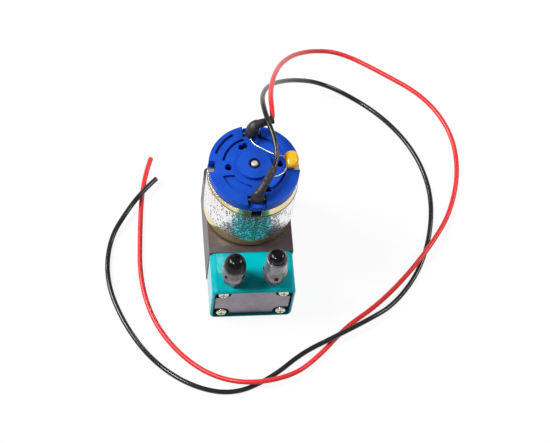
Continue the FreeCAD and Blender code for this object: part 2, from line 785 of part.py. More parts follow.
def make_commutator():
    body = new_body("commutator", y=MOTOR_Y, z=COMMUTATOR_LOW)
    bore = "shaft_radius"
    neck = "shaft_radius + commutator_neck"
    turned(body, "drum", [
        (bore, "-commutator_neck"), (neck, "-commutator_neck"), (neck, "0"), ("commutator_radius", "0"),
        ("commutator_radius", "commutator_height"), (bore, "commutator_height"),
    ])
    sketch = new_sketch(body, "cut")
    floor = "commutator_radius - commutator_cut"
    rectangle(sketch, floor, "-commutator_cut / 2", "commutator_radius + cut_past", "commutator_cut / 2")
    cut = extrude(body, sketch, "commutator_height", cut=True)
    ring_of(body, cut, "core_poles")


def make_thrust_washers():
    body = new_body("thrust_washers", y=MOTOR_Y, z="housing_height")
    bore = "shaft_radius"
    low = "bush_height - can_boss_height + running_gap"
    turned(body, "low", ring_section(bore, "bush_radius", low, f"{low} + washer_thickness"))
    high = f"{CAP_FACE} - housing_height + cap_boss_height / 2 - bush_height - running_gap"
    turned(body, "high", ring_section(bore, "bush_radius", high, f"{high} - washer_thickness"))


def make_eccentric():
    """Crank hub with its off-centre pin towards the head and a counterweight behind."""
    body = new_body("eccentric", y=MOTOR_Y, z=HUB_TOP)
    low = "-hub_height"
    turned(body, "hub", ring_section("shaft_radius", "hub_radius", low, "0"))
    inner = "shaft_radius + weight_off_shaft"
    section = ring_section(inner, "weight_radius", low, f"{low} + weight_height")
    turned(body, "weight", section, sweep="180", turn="90")
    pin_low = f"{BEARING_LOW} - pin_shoulder - {HUB_TOP}"
    sketch = new_sketch(body, "pin", start=pin_low)
    circle(sketch, "0", "-crank_throw", "bearing_bore")
    extrude(body, sketch, f"{HUB_TOP} - {BEARING_LOW} + pin_shoulder + {low}")
    sketch = new_sketch(body, "bore", start=pin_low)
    circle(sketch, "0", "0", "shaft_radius")
    extrude(body, sketch, f"{HUB_TOP} - {BEARING_LOW} + pin_shoulder", cut=True)
    sketch = new_sketch(body, "set_screw_hole", "XZ_Plane", "shaft_radius - set_screw_entry")
    circle(sketch, "0", "-hub_height / 2 + set_screw_rise", "set_screw_radius")
    extrude(body, sketch, "hub_radius", cut=True)


def make_set_screw():
    body = new_body("set_screw", y=MOTOR_Y, z=f"{HUB_TOP} - hub_height / 2 + set_screw_rise")
    sketch = new_sketch(body, "grub", "XZ_Plane", "shaft_radius + running_gap")
    circle(sketch, "0", "0", "set_screw_radius - running_gap")
    extrude(body, sketch, "hub_radius - shaft_radius - set_screw_sink")
    sketch = new_sketch(body, "socket", "XZ_Plane", "hub_radius - socket_depth")
    outline(sketch, hexagon("socket_across"))
    extrude(body, sketch, "socket_depth + cut_past", cut=True)


def hexagon(across, turn=0):
    """The corners of a hexagon of that width across its flats, the first at that angle."""
    radius = f"({across}) / 2 / cos(30 deg)"
    angles = [turn + 60 * number for number in range(6)]
    return [(f"{radius} * cos({angle} deg)", f"{radius} * sin({angle} deg)") for angle in angles]


def make_bearing_rings():
    y = f"{MOTOR_Y} - crank_throw"
    inner = new_body("bearing_inner_ring", y=y, z=BEARING_LOW)
    outside = "bearing_bore + race_wall"
    turned(inner, "ring", ring_section("bearing_bore", outside, "0", "bearing_width"))
    outer = new_body("bearing_outer_ring", y=y, z=BEARING_LOW)
    inside = "bearing_radius - race_wall_outer"
    turned(outer, "ring", ring_section(inside, "bearing_radius", "0", "bearing_width"))


def make_bearing_balls():
    """Balls joined by their cage ring, which turns between the two races."""
    body = new_body("bearing_balls", y=f"{MOTOR_Y} - crank_throw", z=PUMP_Z)
    inside = "(bearing_bore + race_wall)"
    outside = "(bearing_radius - race_wall_outer)"
    circle_radius = f"({inside} + {outside}) / 2"
    ball = f"(({outside} - {inside}) / 2 - running_gap)"
    cage_in = f"{circle_radius} - cage_half_wall"
    cage_out = f"{circle_radius} + cage_half_wall"
    turned(body, "cage", ring_section(cage_in, cage_out, "-cage_half_height", "cage_half_height"))
    sphere = body.newObject("PartDesign::AdditiveSphere", "bearing_ball")
    origin = next(item for item in body.Origin.OriginFeatures if item.Role == "XY_Plane")
    sphere.AttachmentSupport = [(origin, "")]
    sphere.MapMode = "FlatFace"
    sphere.setExpression("Radius", linked(ball))
    sphere.setExpression("AttachmentOffset.Base.x", linked(circle_radius))
    ring_of(body, sphere, "ball_count")


def make_connecting_rod():
    """Ring, waisted shank with a web, and the round foot that backs the diaphragm."""
    body = new_body("connecting_rod", y=f"{MOTOR_Y} - crank_throw", z=PUMP_Z)
    low = "-rod_height / 2"
    outside = "bearing_radius + rod_ring_wall"
    rod(body, "ring", [("0", "0")], outside, low, "rod_height")
    foot_face = f"{JOINT_AHEAD} - crank_throw + diaphragm_push"
    half = "rod_shank_width / 2"
    tip = f"-({foot_face}) + rod_foot_thickness / 2"
    sketch = new_sketch(body, "shank", start=low)
    wide = f"{half} + rod_shank_flare"
    flare = f"-({outside}) - rod_flare_run"
    outline(sketch, [
        (f"-{wide}", "-bearing_radius"), (wide, "-bearing_radius"), (half, flare),
        (half, tip), (f"-{half}", tip), (f"-{half}", flare),
    ])
    extrude(body, sketch, "rod_height")
    start = f"{foot_face} - rod_foot_thickness"
    rod(body, "foot", [("0", "0")], "rod_foot_radius", start, "rod_foot_thickness", plane="XZ_Plane")
    rod(body, "eye", [("0", "0")], "bearing_radius", low, "rod_height", cut=True)
    pocket = "rod_shank_width / 2 - rod_pocket_wall"
    end = f"{tip} + rod_pocket_foot"
    bite = f"-({outside}) + rod_pocket_bite"
    deep = "(rod_height - rod_web) / 2"
    for name, start in (("under", low), ("over", "rod_web / 2")):
        block(body, name, f"-{pocket}", end, pocket, bite, start, deep, True)
    start = f"{foot_face} - clamp_screw_length + clamp_thickness + diaphragm_sheet"
    rod(body, "thread", [("0", "0")], "clamp_screw_radius", start, "clamp_screw_length", True, "XZ_Plane")


def front_body(label, ahead="0"):
    """A body that faces forward from the joint of housing and head, at the pumping axis."""
    return new_body(label, y=f"{JOINT_Y} - ({ahead})", z=PUMP_Z, forward=True)


def make_diaphragm():
    """A rubber disc: clamped rim, rolled ring and a centre held by the rod, pushed forward."""
    body = front_body("diaphragm")
    back = "diaphragm_push"
    front = "diaphragm_push + diaphragm_sheet"
    bore = "clamp_screw_radius + slip_gap"
    middle = "(diaphragm_roll + rod_foot_radius) / 2 + roll_shift"
    turned(body, "disc", [
        (bore, back), ("rod_foot_radius", back), (middle, f"{back} - roll_back"),
        ("diaphragm_roll", "running_gap"), ("diaphragm_radius", "running_gap"),
        ("diaphragm_radius", "diaphragm_rim - running_gap"),
        ("diaphragm_roll", "diaphragm_rim - running_gap"), (middle, f"{front} - roll_front"),
        ("rod_foot_radius", front), (bore, front),
    ])


def make_diaphragm_clamp():
    body = front_body("diaphragm_clamp", "diaphragm_push + diaphragm_sheet")
    bore = "clamp_screw_radius + slip_gap"
    turned(body, "disc", [
        (bore, "0"), ("clamp_radius", "0"), ("clamp_radius", "clamp_thickness / 2"),
        ("clamp_radius - clamp_chamfer", "clamp_thickness"),
        ("clamp_screw_head + slip_gap", "clamp_thickness"),
    ])


def make_clamp_screw():
    body = front_body("clamp_screw", "diaphragm_push + diaphragm_sheet")
    low = "clamp_thickness - clamp_screw_length"
    turned(body, "screw", [
        ("0", low), ("clamp_screw_radius", low), ("clamp_screw_radius", "running_gap"),
        ("clamp_screw_head", "clamp_thickness"), ("0", "clamp_thickness"),
    ])


def make_pump_head():
    """The teal head: chamber behind, two valve pockets and the plate's recess in front, ports on top."""
    body = new_body("pump_head", y=JOINT_Y, forward=True)
    half = "(housing_width / 2 - head_margin)"
    block(body, "block", f"-{half}", "head_margin", half, HEAD_TOP, "0", "head_depth")
    across = value(half)
    for high in ("head_margin", HEAD_TOP):
        level = value(high)
        soften(body, "head_corner", lambda edge: upright_corner(edge, across, level))
    front = value("head_depth")
    soften(body, "head_edge", lambda edge: level_with(edge, front))
    inner = f"({half} - head_rim)"
    floor = "head_depth - recess_depth"
    low = "head_margin + head_rim"
    high = f"{HEAD_TOP} - head_rim"
    block(body, "recess", f"-{inner}", low, inner, high, floor, "recess_depth + cut_past", True)
    across_in = value(inner)
    for side in (low, high):
        level_in = value(side)
        soften(body, "recess_corner", lambda edge: upright_corner(edge, across_in, level_in))
    rod(body, "rim_seat", [("0", PUMP_Z)], "diaphragm_radius + slip_gap", "0", "diaphragm_rim", cut=True)
    sketch = new_sketch(body, "dome", "XZ_Plane", f"-{PUMP_Z}")
    dome_floor = "diaphragm_rim + dome_depth"
    outline(sketch, [
        ("0", "diaphragm_rim"), ("dome_radius", "diaphragm_rim"),
        ("dome_floor_radius", dome_floor), ("0", dome_floor),
    ])
    revolve(body, sketch, cut=True)
    pockets = [("-port_offset", PUMP_Z), ("port_offset", PUMP_Z)]
    length = f"{floor} - valve_floor + hole_gap"
    rod(body, "valve_pockets", pockets, "valve_radius", "valve_floor", length, cut=True)
    passages = [("-passage_offset", PUMP_Z), ("passage_offset", PUMP_Z)]
    rod(body, "passages", passages, "passage_radius", "diaphragm_rim", "valve_floor", cut=True)
    rod(body, "screw_holes", screw_places(PUMP_Z), "screw_radius + hole_gap", "0", "head_depth", cut=True)
    ports = [("-port_offset", "port_forward"), ("port_offset", "port_forward")]
    drill = (("ring_seat", "ring_radius + ring_thickness + hole_gap", "2 * ring_thickness"),
             ("stem_hole", "stem_radius + slip_gap", "stem_length + hole_gap"),
             ("port_bore", "port_bore_radius", f"{HEAD_TOP} - {PUMP_Z}"))
    for name, radius, depth in drill:
        rod(body, name, ports, radius, f"-{HEAD_TOP}", depth, True, "XZ_Plane")


def make_valve_seats():
    """Two rings in the valve pockets: the inlet's disc closes on its ring, the outlet's is stopped by it."""
    body = front_body("valve_seats", "valve_floor + disc_thickness + disc_travel + 2 * slip_gap")
    places = [("-port_offset", "0"), ("port_offset", "0")]
    rod(body, "rings", places, "valve_radius - slip_gap", "0", "seat_thickness")
    rod(body, "bores", places, "seat_bore", "0", "seat_thickness", cut=True)


def make_valve_disc(label, side, ahead):
    body = new_body(label, x=f"{side} * port_offset", y=f"{JOINT_Y} - ({ahead})", z=PUMP_Z, forward=True)
    rod(body, "disc", [("0", "0")], "disc_radius", "0", "disc_thickness")
    soften(body, "disc_thickness / 4", lambda edge: isinstance(edge.Curve, Part.Circle))


def make_valve_gasket():
    body = front_body("valve_gasket", "head_depth - recess_depth")
    plate_outline(body, "sheet", "valve_cover_gap", "gasket_thickness")
    places = [("-port_offset", "0"), ("port_offset", "0")]
    rod(body, "pocket_holes", places, "valve_radius - slip_gap", "0", "gasket_thickness", cut=True)
    rod(body, "screw_holes", screw_places("0"), "screw_radius + hole_gap", "0", "gasket_thickness", cut=True)


def plate_outline(body, name, gap, thickness):
    """Pad a plate that fills the head's front recess but for a gap all round."""
    half = f"housing_width / 2 - head_margin - head_rim - {gap}"
    tall = f"housing_height / 2 - head_margin - head_rim - {gap}"
    block(body, name, f"-({half})", f"-({tall})", half, tall, "0", thickness)
    across = value(half)
    for sign in (-1, 1):
        level = sign * value(tall)
        soften(body, "recess_corner - " + gap, lambda edge: upright_corner(edge, across, level))


def make_valve_cover():
    body = front_body("valve_cover", "head_depth - recess_depth + gasket_thickness")
    plate_outline(body, "plate", "valve_cover_gap", "valve_cover_thickness")
    places = [("-port_offset", "0"), ("port_offset", "0")]
    start = "-gasket_thickness - spigot_length"
    rod(body, "spigots", places, "valve_radius - 2 * slip_gap", start, "spigot_length + gasket_thickness")
    radius = "screw_radius + hole_gap"
    rod(body, "screw_holes", screw_places("0"), radius, "0", "valve_cover_thickness", cut=True)


def make_front_plate():
    """The steel plate: its four corners are cut round the screw heads."""
    body = front_body("front_plate", COVER_FACE)
    plate_outline(body, "plate", "plate_gap", "plate_thickness")
    rod(body, "notches", screw_places("0"), "plate_notch", "0", "plate_thickness", cut=True)
    side = "housing_width / 2"
    tall = "housing_height / 2"
    for name, sx, sz in (("a", -1, -1), ("b", -1, 1), ("c", 1, -1), ("d", 1, 1)):
        left = f"{sx} * screw_offset_x"
        low = f"{sz} * screw_offset_z"
        right = f"{sx} * {side}"
        high = f"{sz} * {tall}"
        under = f"{low} - {sz} * plate_notch"
        inside = f"{left} - {sx} * plate_notch"
        block(body, f"corner_{name}", left, under, right, high, "0", "plate_thickness", True)
        block(body, f"edge_{name}", inside, low, right, high, "0", "plate_thickness", True)


def make_head_screws():
    body = front_body("head_screws", COVER_FACE)
    places = screw_places("0")
    rod(body, "heads", places, "screw_head_radius", "0", "screw_head_height")
    top = value("screw_head_height")
    soften(body, "screw_head_height / 2", lambda edge: near(edge.BoundBox.ZMin, top))
    length = f"{COVER_FACE} + screw_grip"
    rod(body, "shanks", places, "screw_radius", f"-({length})", length)
    sketch = new_sketch(body, "crosses", start="screw_head_height - cross_depth")
    for x, z in places:
        cross(sketch, x, z, "cross_arm", "cross_width / 2")
    extrude(body, sketch, "cross_depth", cut=True)


def make_fitting(label, side):
    """A hose fitting: stem, round foot, hexagon, neck and hose nipple, bored through."""
    body = new_body(label, x=f"{side} * port_offset", y=f"{JOINT_Y} - port_forward", z=HEAD_TOP)
    rod(body, "stem", [("0", "0")], "stem_radius", "-stem_length", "stem_length + foot_height")
    rod(body, "foot", [("0", "0")], "hex_across / 2", "0", "foot_height")
    sketch = new_sketch(body, "hex", start="foot_height")
    outline(sketch, hexagon("hex_across", 30))
    extrude(body, sketch, "hex_height")
    flat = "hex_across / 2"
    turned(body, "hex_edge", [(flat, "foot_height"), ("hex_across", "foot_height"),
                              ("hex_across", "foot_height + hex_across * hex_chamfer / 2")], cut=True)
    rod(body, "neck", [("0", "0")], "neck_radius", "foot_height + hex_height", "neck_height")
    start = "foot_height + hex_height + neck_height"
    rod(body, "nipple", [("0", "0")], "nipple_radius", start, "nipple_height")
    length = f"{NIPPLE_TOP} + stem_length"
    rod(body, "bore", [("0", "0")], "nipple_bore", "-stem_length", length, cut=True)


def make_port_nut(label, side, height, turn):
    """A castellated hose nut that stands on the hexagon round the nipple."""
    z = f"{HEAD_TOP} + foot_height + hex_height + slip_gap"
    body = new_body(label, x=f"{side} * port_offset", y=f"{JOINT_Y} - port_forward", z=z)
    body.Placement = Placement(body.Placement.Base, Rotation(Vector(0, 0, 1), turn))
    neck = "neck_radius + slip_gap"
    turned(body, "shell", [
        (neck, "0"), ("nut_flange_radius - nut_chamfer", "0"), ("nut_flange_radius", "nut_chamfer"),
        ("nut_flange_radius", "nut_flange_height"), ("nut_radius", "nut_flange_height + nut_cone_height"),
        ("nut_radius", f"{height} - nut_chamfer"), ("nut_radius - nut_chamfer", height),
        ("nut_inner_radius", height), ("nut_inner_radius", "nut_floor"), (neck, "nut_floor"),
    ])
    sketch = new_sketch(body, "notch", start="nut_notch_start")
    half = "nut_notch_width / 2"
    floor = "nut_flange_radius - nut_notch_depth"
    rectangle(sketch, floor, f"-{half}", "nut_flange_radius + cut_past", half)
    notch = extrude(body, sketch, "nut_notch_height", cut=True)
    ring_of(body, notch, "nut_notches")


def make_stopper(label, side, lift):
    """A soft plug that caps the nipple inside the nut."""
    z = f"{HEAD_TOP} + foot_height + hex_height + neck_height + {lift}"
    body = new_body(label, x=f"{side} * port_offset", y=f"{JOINT_Y} - port_forward", z=z)
    bore = "nipple_radius + slip_gap"
    turned(body, "bullet", [
        ("0", "stopper_depth"), (bore, "stopper_depth"), (bore, "0"), ("stopper_radius", "0"),
        ("stopper_radius", "stopper_depth"), ("stopper_tip_radius", "stopper_length"),
        ("0", "stopper_length"),
    ])
    tip = value("stopper_tip_radius")
    top = value("stopper_length")
    soften(body, "stopper_round", lambda edge: full_circle(edge, tip, top))


def make_port_rings():
    body = new_body("port_rings", y=f"{JOINT_Y} - port_forward", z=f"{HEAD_TOP} - ring_thickness")
    for name, side in (("left", -1), ("right", 1)):
        ring = body.newObject("PartDesign::AdditiveTorus", name + "_ring")
        origin = next(item for item in body.Origin.OriginFeatures if item.Role == "XY_Plane")
        ring.AttachmentSupport = [(origin, "")]
        ring.MapMode = "FlatFace"
        ring.setExpression("Radius1", linked("ring_radius"))
        ring.setExpression("Radius2", linked("ring_thickness - slip_gap"))
        ring.setExpression("AttachmentOffset.Base.x", linked(f"{side} * port_offset"))


def make_capacitor():
    y = f"{MOTOR_Y} + capacitor_back"
    body = new_body("capacitor", x="capacitor_out", y=y, z=f"{CAP_FACE} + capacitor_lift")
    body.Placement = Placement(Vector(), Rotation(Vector(0, 0, 1), value("capacitor_turn")))
    across = "capacitor_width / 2"
    deep = "capacitor_depth / 2"
    block(body, "pill", f"-{across}", f"-{deep}", across, deep, "0", "capacitor_thickness")
    x, y = value(across), value(deep)
    soften(body, "capacitor_side_round",
           lambda edge: upright_corner(edge, x, y) or upright_corner(edge, x, -y))
    levels = (0, value("capacitor_thickness"))
    soften(body, "capacitor_edge_round", lambda edge: any(level_with(edge, z) for z in levels))


def path_of(points):
    """Straight runs joined by the largest tangent arcs that the points allow, and the smallest radius."""
    edges = []
    radii = []
    last = points[0]
    for before, corner, after in zip(points, points[1:], points[2:]):
        back = before - corner
        ahead = after - corner
        cut = 0.45 * min(back.Length, ahead.Length)
        turn = math.pi - back.getAngle(ahead)
        radius = cut / math.tan(turn / 2)
        back.normalize()
        ahead.normalize()
        inward = back + ahead
        inward.normalize()
        middle = corner + inward * (radius / math.cos(turn / 2) - radius)
        start, end = corner + back * cut, corner + ahead * cut
        edges.append(Part.LineSegment(last, start).toShape())
        edges.append(Part.Arc(start, middle, end).toShape())
        radii.append(radius)
        last = end
    edges.append(Part.LineSegment(last, points[-1]).toShape())
    return Part.Wire(edges), radii


def swept(points, diameter):
    """A round bar along the path of the points, with its volume checked."""
    path, radii = path_of(points)
    profile = Part.Wire(Part.Circle(points[0], points[1] - points[0], diameter / 2).toShape())
    bar = path.makePipeShell([profile], True, False)
    expected = math.pi * diameter ** 2 / 4 * path.Length
    if abs(bar.Volume / expected - 1) > 0.01:
        raise ValueError(f"a bar of {bar.Volume:.1f} mm3 should have {expected:.1f} mm3")
    return bar, path.Length, radii


def over_cap(points):
    """Points given from where the motor's axis meets the cap's face."""
    top = Vector(0, value(MOTOR_Y), value(CAP_FACE))
    return [top + Vector(*point) for point in points]


def over_terminal(side, points):
    """Points given from the cap's face over the front (-1) or rear (1) brush terminal."""
    top = Vector(0, value(f"{MOTOR_Y} + {side} * terminal_offset"), value(CAP_FACE))
    return [top + Vector(*point) for point in points]


def add_part(label, shape):
    part = doc.addObject("Part::Feature", label)
    part.Label = label
    part.Shape = shape
    parts.append(part)


def say_route(label, length, radii):
    print(f"{label}: {length:.1f} mm long, arcs of {min(radii):.1f} to {max(radii):.1f} mm")


def make_wire(label, above, below):
    """A wire that starts over the cap and then falls to the ground and lies on it."""
    route = above + [Vector(*point) for point in below]
    shape, length, radii = swept(route, value("wire_diameter"))
    say_route(label, length, radii)
    add_part(label, shape)


def make_red_wire():
    """From the rear sleeve down behind the motor, round the right and front, to its cut end."""
    above = over_terminal(1, [(5.9, 2.3, 3.9), (7.9, 3.675, 3.9), (7.6, 7.9, 3.3),
                              (7.5, 12.6, 1.7), (8.6, 20.2, -3.1)])
    below = [
        (11.0, 51.5, 41.0), (15.5, 64.0, 29.0), (22.0, 75.0, 17.5), (31.0, 83.5, 7.0),
        (43.0, 86.5, 0.9), (58.0, 77.0, 0.9), (74.0, 65.5, 0.9), (82.5, 50.0, 0.9),
        (83.5, 33.0, 0.9), (78.5, 15.5, 0.9), (70.2, 2.0, 3.1), (58.5, -12.0, 3.1),
        (46.5, -22.7, 0.9), (34.0, -31.0, 0.9), (23.5, -42.0, 0.9), (13.0, -50.2, 3.1),
        (-3.0, -52.6, 3.1), (-16.5, -47.7, 0.9), (-28.0, -37.5, 0.9), (-35.8, -24.0, 0.9),
        (-39.0, -8.0, 0.9), (-38.2, 9.0, 0.9), (-37.0, 24.0, 0.9), (-35.0, 34.5, 0.9),
        (-32.7, 41.0, 0.9),
    ]
    make_wire("red_wire", above, below)


def make_black_wire():
    """From the front sleeve back over the cap, down, and round inside the red wire's loop."""
    above = over_terminal(-1, [(6.0, 9.0, 5.0), (7.8, 12.6, 5.4)])
    above += over_cap([(7.1, 6.3, 6.7), (5.3, 12.8, 7.0), (4.2, 20.8, 4.9), (5.0, 29.3, -2.0)])
    below = [
        (8.2, 47.5, 39.5), (14.0, 57.3, 27.0), (22.2, 65.2, 15.5), (32.6, 69.8, 6.0),
        (44.8, 66.6, 0.9), (57.5, 56.0, 0.9), (67.3, 41.6, 0.9), (71.8, 24.5, 0.9),
        (69.9, 7.0, 0.9), (63.6, -9.5, 0.9), (53.0, -22.5, 0.9), (42.2, -29.4, 3.1),
        (28.5, -36.0, 3.1), (17.5, -40.4, 0.9), (6.0, -49.5, 0.9), (-8.0, -55.5, 0.9),
        (-22.5, -52.0, 0.9), (-35.7, -42.0, 0.9), (-45.4, -27.0, 0.9), (-51.2, -9.5, 0.9),
        (-49.4, 7.5, 0.9), (-41.8, 19.0, 3.1), (-36.0, 26.4, 3.1), (-31.2, 31.6, 1.9),
    ]
    make_wire("black_wire", above, below)


def oval(centre, normal, wide, thin):
    """An oval outline square to a normal, with its long way nearest the row's X."""
    across = Vector(1, 0, 0) - normal * normal.x
    across.normalize()
    other = normal.cross(across)
    return Part.Wire(Part.Ellipse(centre + across * wide, centre + other * thin, centre).toShape())


def make_sleeve(label, feet, route, diameter, foot_half):
    """A shrunk sleeve: its flat foot over a terminal lofts into the round bar round the wire."""
    bar, length, radii = swept(route, diameter)
    say_route(label, length, radii)
    along = route[1] - route[0]
    along.normalize()
    low, high, knee = feet
    half = diameter / 2
    leaning = along + Vector(0, 0, 1)
    leaning.normalize()
    upright = Vector(0, 0, 1)
    thin = half * value("foot_flatness")
    sections = [oval(low, upright, foot_half, thin),
                oval(high, upright, foot_half, thin),
                oval(knee, leaning, (foot_half + half) / 2, half * value("knee_flatness")),
                Part.Wire(Part.Circle(route[0], along, half).toShape())]
    add_part(label, Part.makeLoft(sections, True).fuse(bar))


def make_front_sleeve():
    feet = over_terminal(-1, [(0.5, 0, -1.2), (0.6, 0, 0.3), (0.9, 0.6, 2.4)])
    route = over_terminal(-1, [(1.5, 2.0, 4.1), (4.2, 5.4, 4.6), (6.0, 9.0, 5.0)])
    make_sleeve("front_sleeve", feet, route, value("front_sleeve_diameter"), value("front_foot_half"))


def make_rear_sleeve():
    feet = over_terminal(1, [(-0.1, 0, -1.2), (-0.1, 0, 1.0), (0.3, 0.1, 2.9)])
    route = over_terminal(1, [(2.0, 0.5, 3.8), (4.3, 1.2, 3.9), (5.9, 2.3, 3.9)])
    make_sleeve("rear_sleeve", feet, route, value("rear_sleeve_diameter"), value("rear_foot_half"))


def make_capacitor_leads():
    upper = over_terminal(1, [(-0.6, -0.6, 0.8), (-0.7, -3.2, 0.8)])
    upper += over_cap([(0.5, 7.6, 1.1), (3.3, 5.4, 1.7), (6.2, 3.4, 2.0), (9.7, 2.2, 2.1)])
    lower = over_terminal(-1, [(5.0, 6.5, 3.5), (7.5, 7.5, 1.9)])
    lower += over_cap([(9.9, -3.8, 1.3), (11.0, -1.9, 1.7)])
    bars = []
    for route in (upper, lower):
        bar, length, radii = swept(route, value("lead_diameter"))
        say_route("capacitor lead", length, radii)
        bars.append(bar)
    add_part("capacitor_leads", Part.makeCompound(bars))


def check_and_export():
    """Stop on any failed object or bad shape, then write each part to its own file."""
    doc.recompute()
    for item in doc.Objects:
        if "Invalid" in item.State or "Error" in item.State:
            raise ValueError(f"{item.Name} failed: {item.State}")
    os.makedirs("parts", exist_ok=True)
    for part in parts:
        shape = part.Shape
        if shape.isNull() or not shape.isValid() or not shape.Solids:
            raise ValueError(f"{part.Label} has no valid solid")
        shape.exportStep(f"parts/{part.Label}.step")
    print(f"{len(parts)} parts written")


fill_sheet()
make_crank_housing()
make_bottom_cover()
make_bottom_cover_screws()
make_motor_can()
make_motor_label()
make_end_cap()
make_brush_terminals()
make_carbon_brushes()
make_motor_magnets()
make_front_bearing()
make_rear_bearing()
make_motor_screws()
make_motor_shaft()
make_rotor_core()
make_rotor_windings()
make_commutator()
make_thrust_washers()
make_eccentric()
make_set_screw()
make_bearing_rings()
make_bearing_balls()
make_connecting_rod()
make_diaphragm()
make_diaphragm_clamp()
make_clamp_screw()
make_pump_head()
make_valve_seats()
make_valve_disc("inlet_valve_disc", -1, "valve_floor + disc_travel + slip_gap")
make_valve_disc("outlet_valve_disc", 1, "valve_floor + running_gap")
make_valve_gasket()
make_valve_cover()
make_front_plate()
make_head_screws()
make_fitting("left_fitting", -1)
make_fitting("right_fitting", 1)
make_port_nut("left_port_nut", -1, "left_nut_height", 45)
make_port_nut("right_port_nut", 1, "right_nut_height", 0)
make_stopper("left_stopper", -1, "left_stopper_lift")
make_stopper("right_stopper", 1, "right_stopper_lift")
make_port_rings()
make_capacitor()
make_capacitor_leads()
make_front_sleeve()
make_rear_sleeve()
make_red_wire()
make_black_wire()
check_and_export()
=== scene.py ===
import bpy
import math
import numpy as np
from mathutils import Matrix, Vector


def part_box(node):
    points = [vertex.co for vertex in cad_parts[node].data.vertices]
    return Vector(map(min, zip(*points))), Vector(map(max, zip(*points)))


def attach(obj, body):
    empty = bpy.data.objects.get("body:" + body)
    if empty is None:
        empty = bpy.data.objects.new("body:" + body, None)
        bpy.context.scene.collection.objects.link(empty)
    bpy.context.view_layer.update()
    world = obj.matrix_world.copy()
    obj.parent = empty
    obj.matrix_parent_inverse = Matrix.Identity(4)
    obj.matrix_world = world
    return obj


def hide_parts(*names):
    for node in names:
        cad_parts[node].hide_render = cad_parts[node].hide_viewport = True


# An ink pump: a small diaphragm pump under an upright brushed motor, with two loose wires.
# Metres, +Z up, the pump head faces -Y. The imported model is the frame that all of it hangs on,
# and the shapes worked out here are in millimetres until they become a mesh.
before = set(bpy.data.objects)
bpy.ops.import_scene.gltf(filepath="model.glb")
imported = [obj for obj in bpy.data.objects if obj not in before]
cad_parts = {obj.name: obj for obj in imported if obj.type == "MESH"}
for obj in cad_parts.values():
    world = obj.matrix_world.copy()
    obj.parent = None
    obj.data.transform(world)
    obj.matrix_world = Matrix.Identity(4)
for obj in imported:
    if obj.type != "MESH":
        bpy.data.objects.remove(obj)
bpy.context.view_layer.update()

# The camera looks down on the pump from the front left, rolled a little, as the photograph was
# taken. Its long lens keeps the perspective weak.
eye = bpy.data.objects.new("eye", bpy.data.cameras.new("eye"))
bpy.context.scene.collection.objects.link(eye)
eye.data.sensor_width = 36
eye.data.lens = 124.88
eye.data.clip_start = 0.05
aim = Matrix.Rotation(math.radians(-13.773), 4, "Z")
aim = aim @ Matrix.Rotation(math.radians(28.298), 4, "X")
aim = aim @ Matrix.Rotation(math.radians(10.582), 4, "Z")
eye.matrix_world = Matrix.Translation((-0.06777, -0.31209, 0.62232)) @ aim
bpy.context.scene.camera = eye
bpy.context.scene.view_settings.view_transform = "Standard"


# The two wires: stranded copper in extruded silicone, 1.8 mm thick. Each is soldered to a brush
# terminal, falls behind the motor, lies round the pump in a wide loop and ends cut.
def linear(code):
    """An sRGB hex colour as linear light, channel by channel: up to 0.04045 it is divided by
    12.92, and above that 0.055 is added, the sum divided by 1.055 and raised to the power 2.4."""
    parts = [int(code[n:n + 2], 16) / 255 for n in (1, 3, 5)]
    return [c / 12.92 if c <= 0.04045 else ((c + 0.055) / 1.055) ** 2.4 for c in parts] + [1]


def add(material, kind, sockets=(), **settings):
    """Add a node with its settings. A socket takes a plain value or the output that feeds it."""
    node = material.node_tree.nodes.new("ShaderNode" + kind)
    for name, value in settings.items():
        setattr(node, name, value)
    for name, value in dict(sockets).items():
        if isinstance(value, bpy.types.NodeSocket):
            material.node_tree.links.new(value, node.inputs[name])
        else:
            node.inputs[name].default_value = value
    return node


def empty_material(name):
    """A material whose nodes are all still to be added."""
    material = bpy.data.materials.new(name)
    material.use_nodes = True
    material.node_tree.nodes.clear()
    return material


def insulation(name, clean, dusty, rough):
    """Silicone insulation: a soft sheen, a faint grain and dust that dulls it in patches."""
    patch_mm, grain_mm, grain_depth_mm = 5.556, 0.3846, 0.1
    material = empty_material(name)
    place = add(material, "TexCoord").outputs["Object"]
    patches = add(material, "TexNoise", {"Vector": place, "Scale": 1000 / patch_mm, "Detail": 3})
    grain = add(material, "TexNoise", {"Vector": place, "Scale": 1000 / grain_mm, "Detail": 2})
    dust = add(material, "MapRange", {"Value": patches.outputs["Fac"],
                                      "From Min": 0.35, "From Max": 0.7})
    mix = add(material, "Mix", {"Factor": dust.outputs["Result"],
                                "A": linear(clean), "B": linear(dusty)}, data_type="RGBA")
    sheen = add(material, "MapRange", {"Value": grain.outputs["Fac"],
                                       "To Min": rough - 0.05, "To Max": rough + 0.05})
    bump = add(material, "Bump", {"Height": grain.outputs["Fac"], "Strength": 0.05,
                                  "Distance": grain_depth_mm / 1000})
    body = add(material, "BsdfPrincipled", {
        "Base Color": mix.outputs["Result"], "Roughness": sheen.outputs["Result"],
        "IOR": 1.45, "Normal": bump.outputs["Normal"]})
    add(material, "OutputMaterial", {"Surface": body.outputs["BSDF"]})
    return material


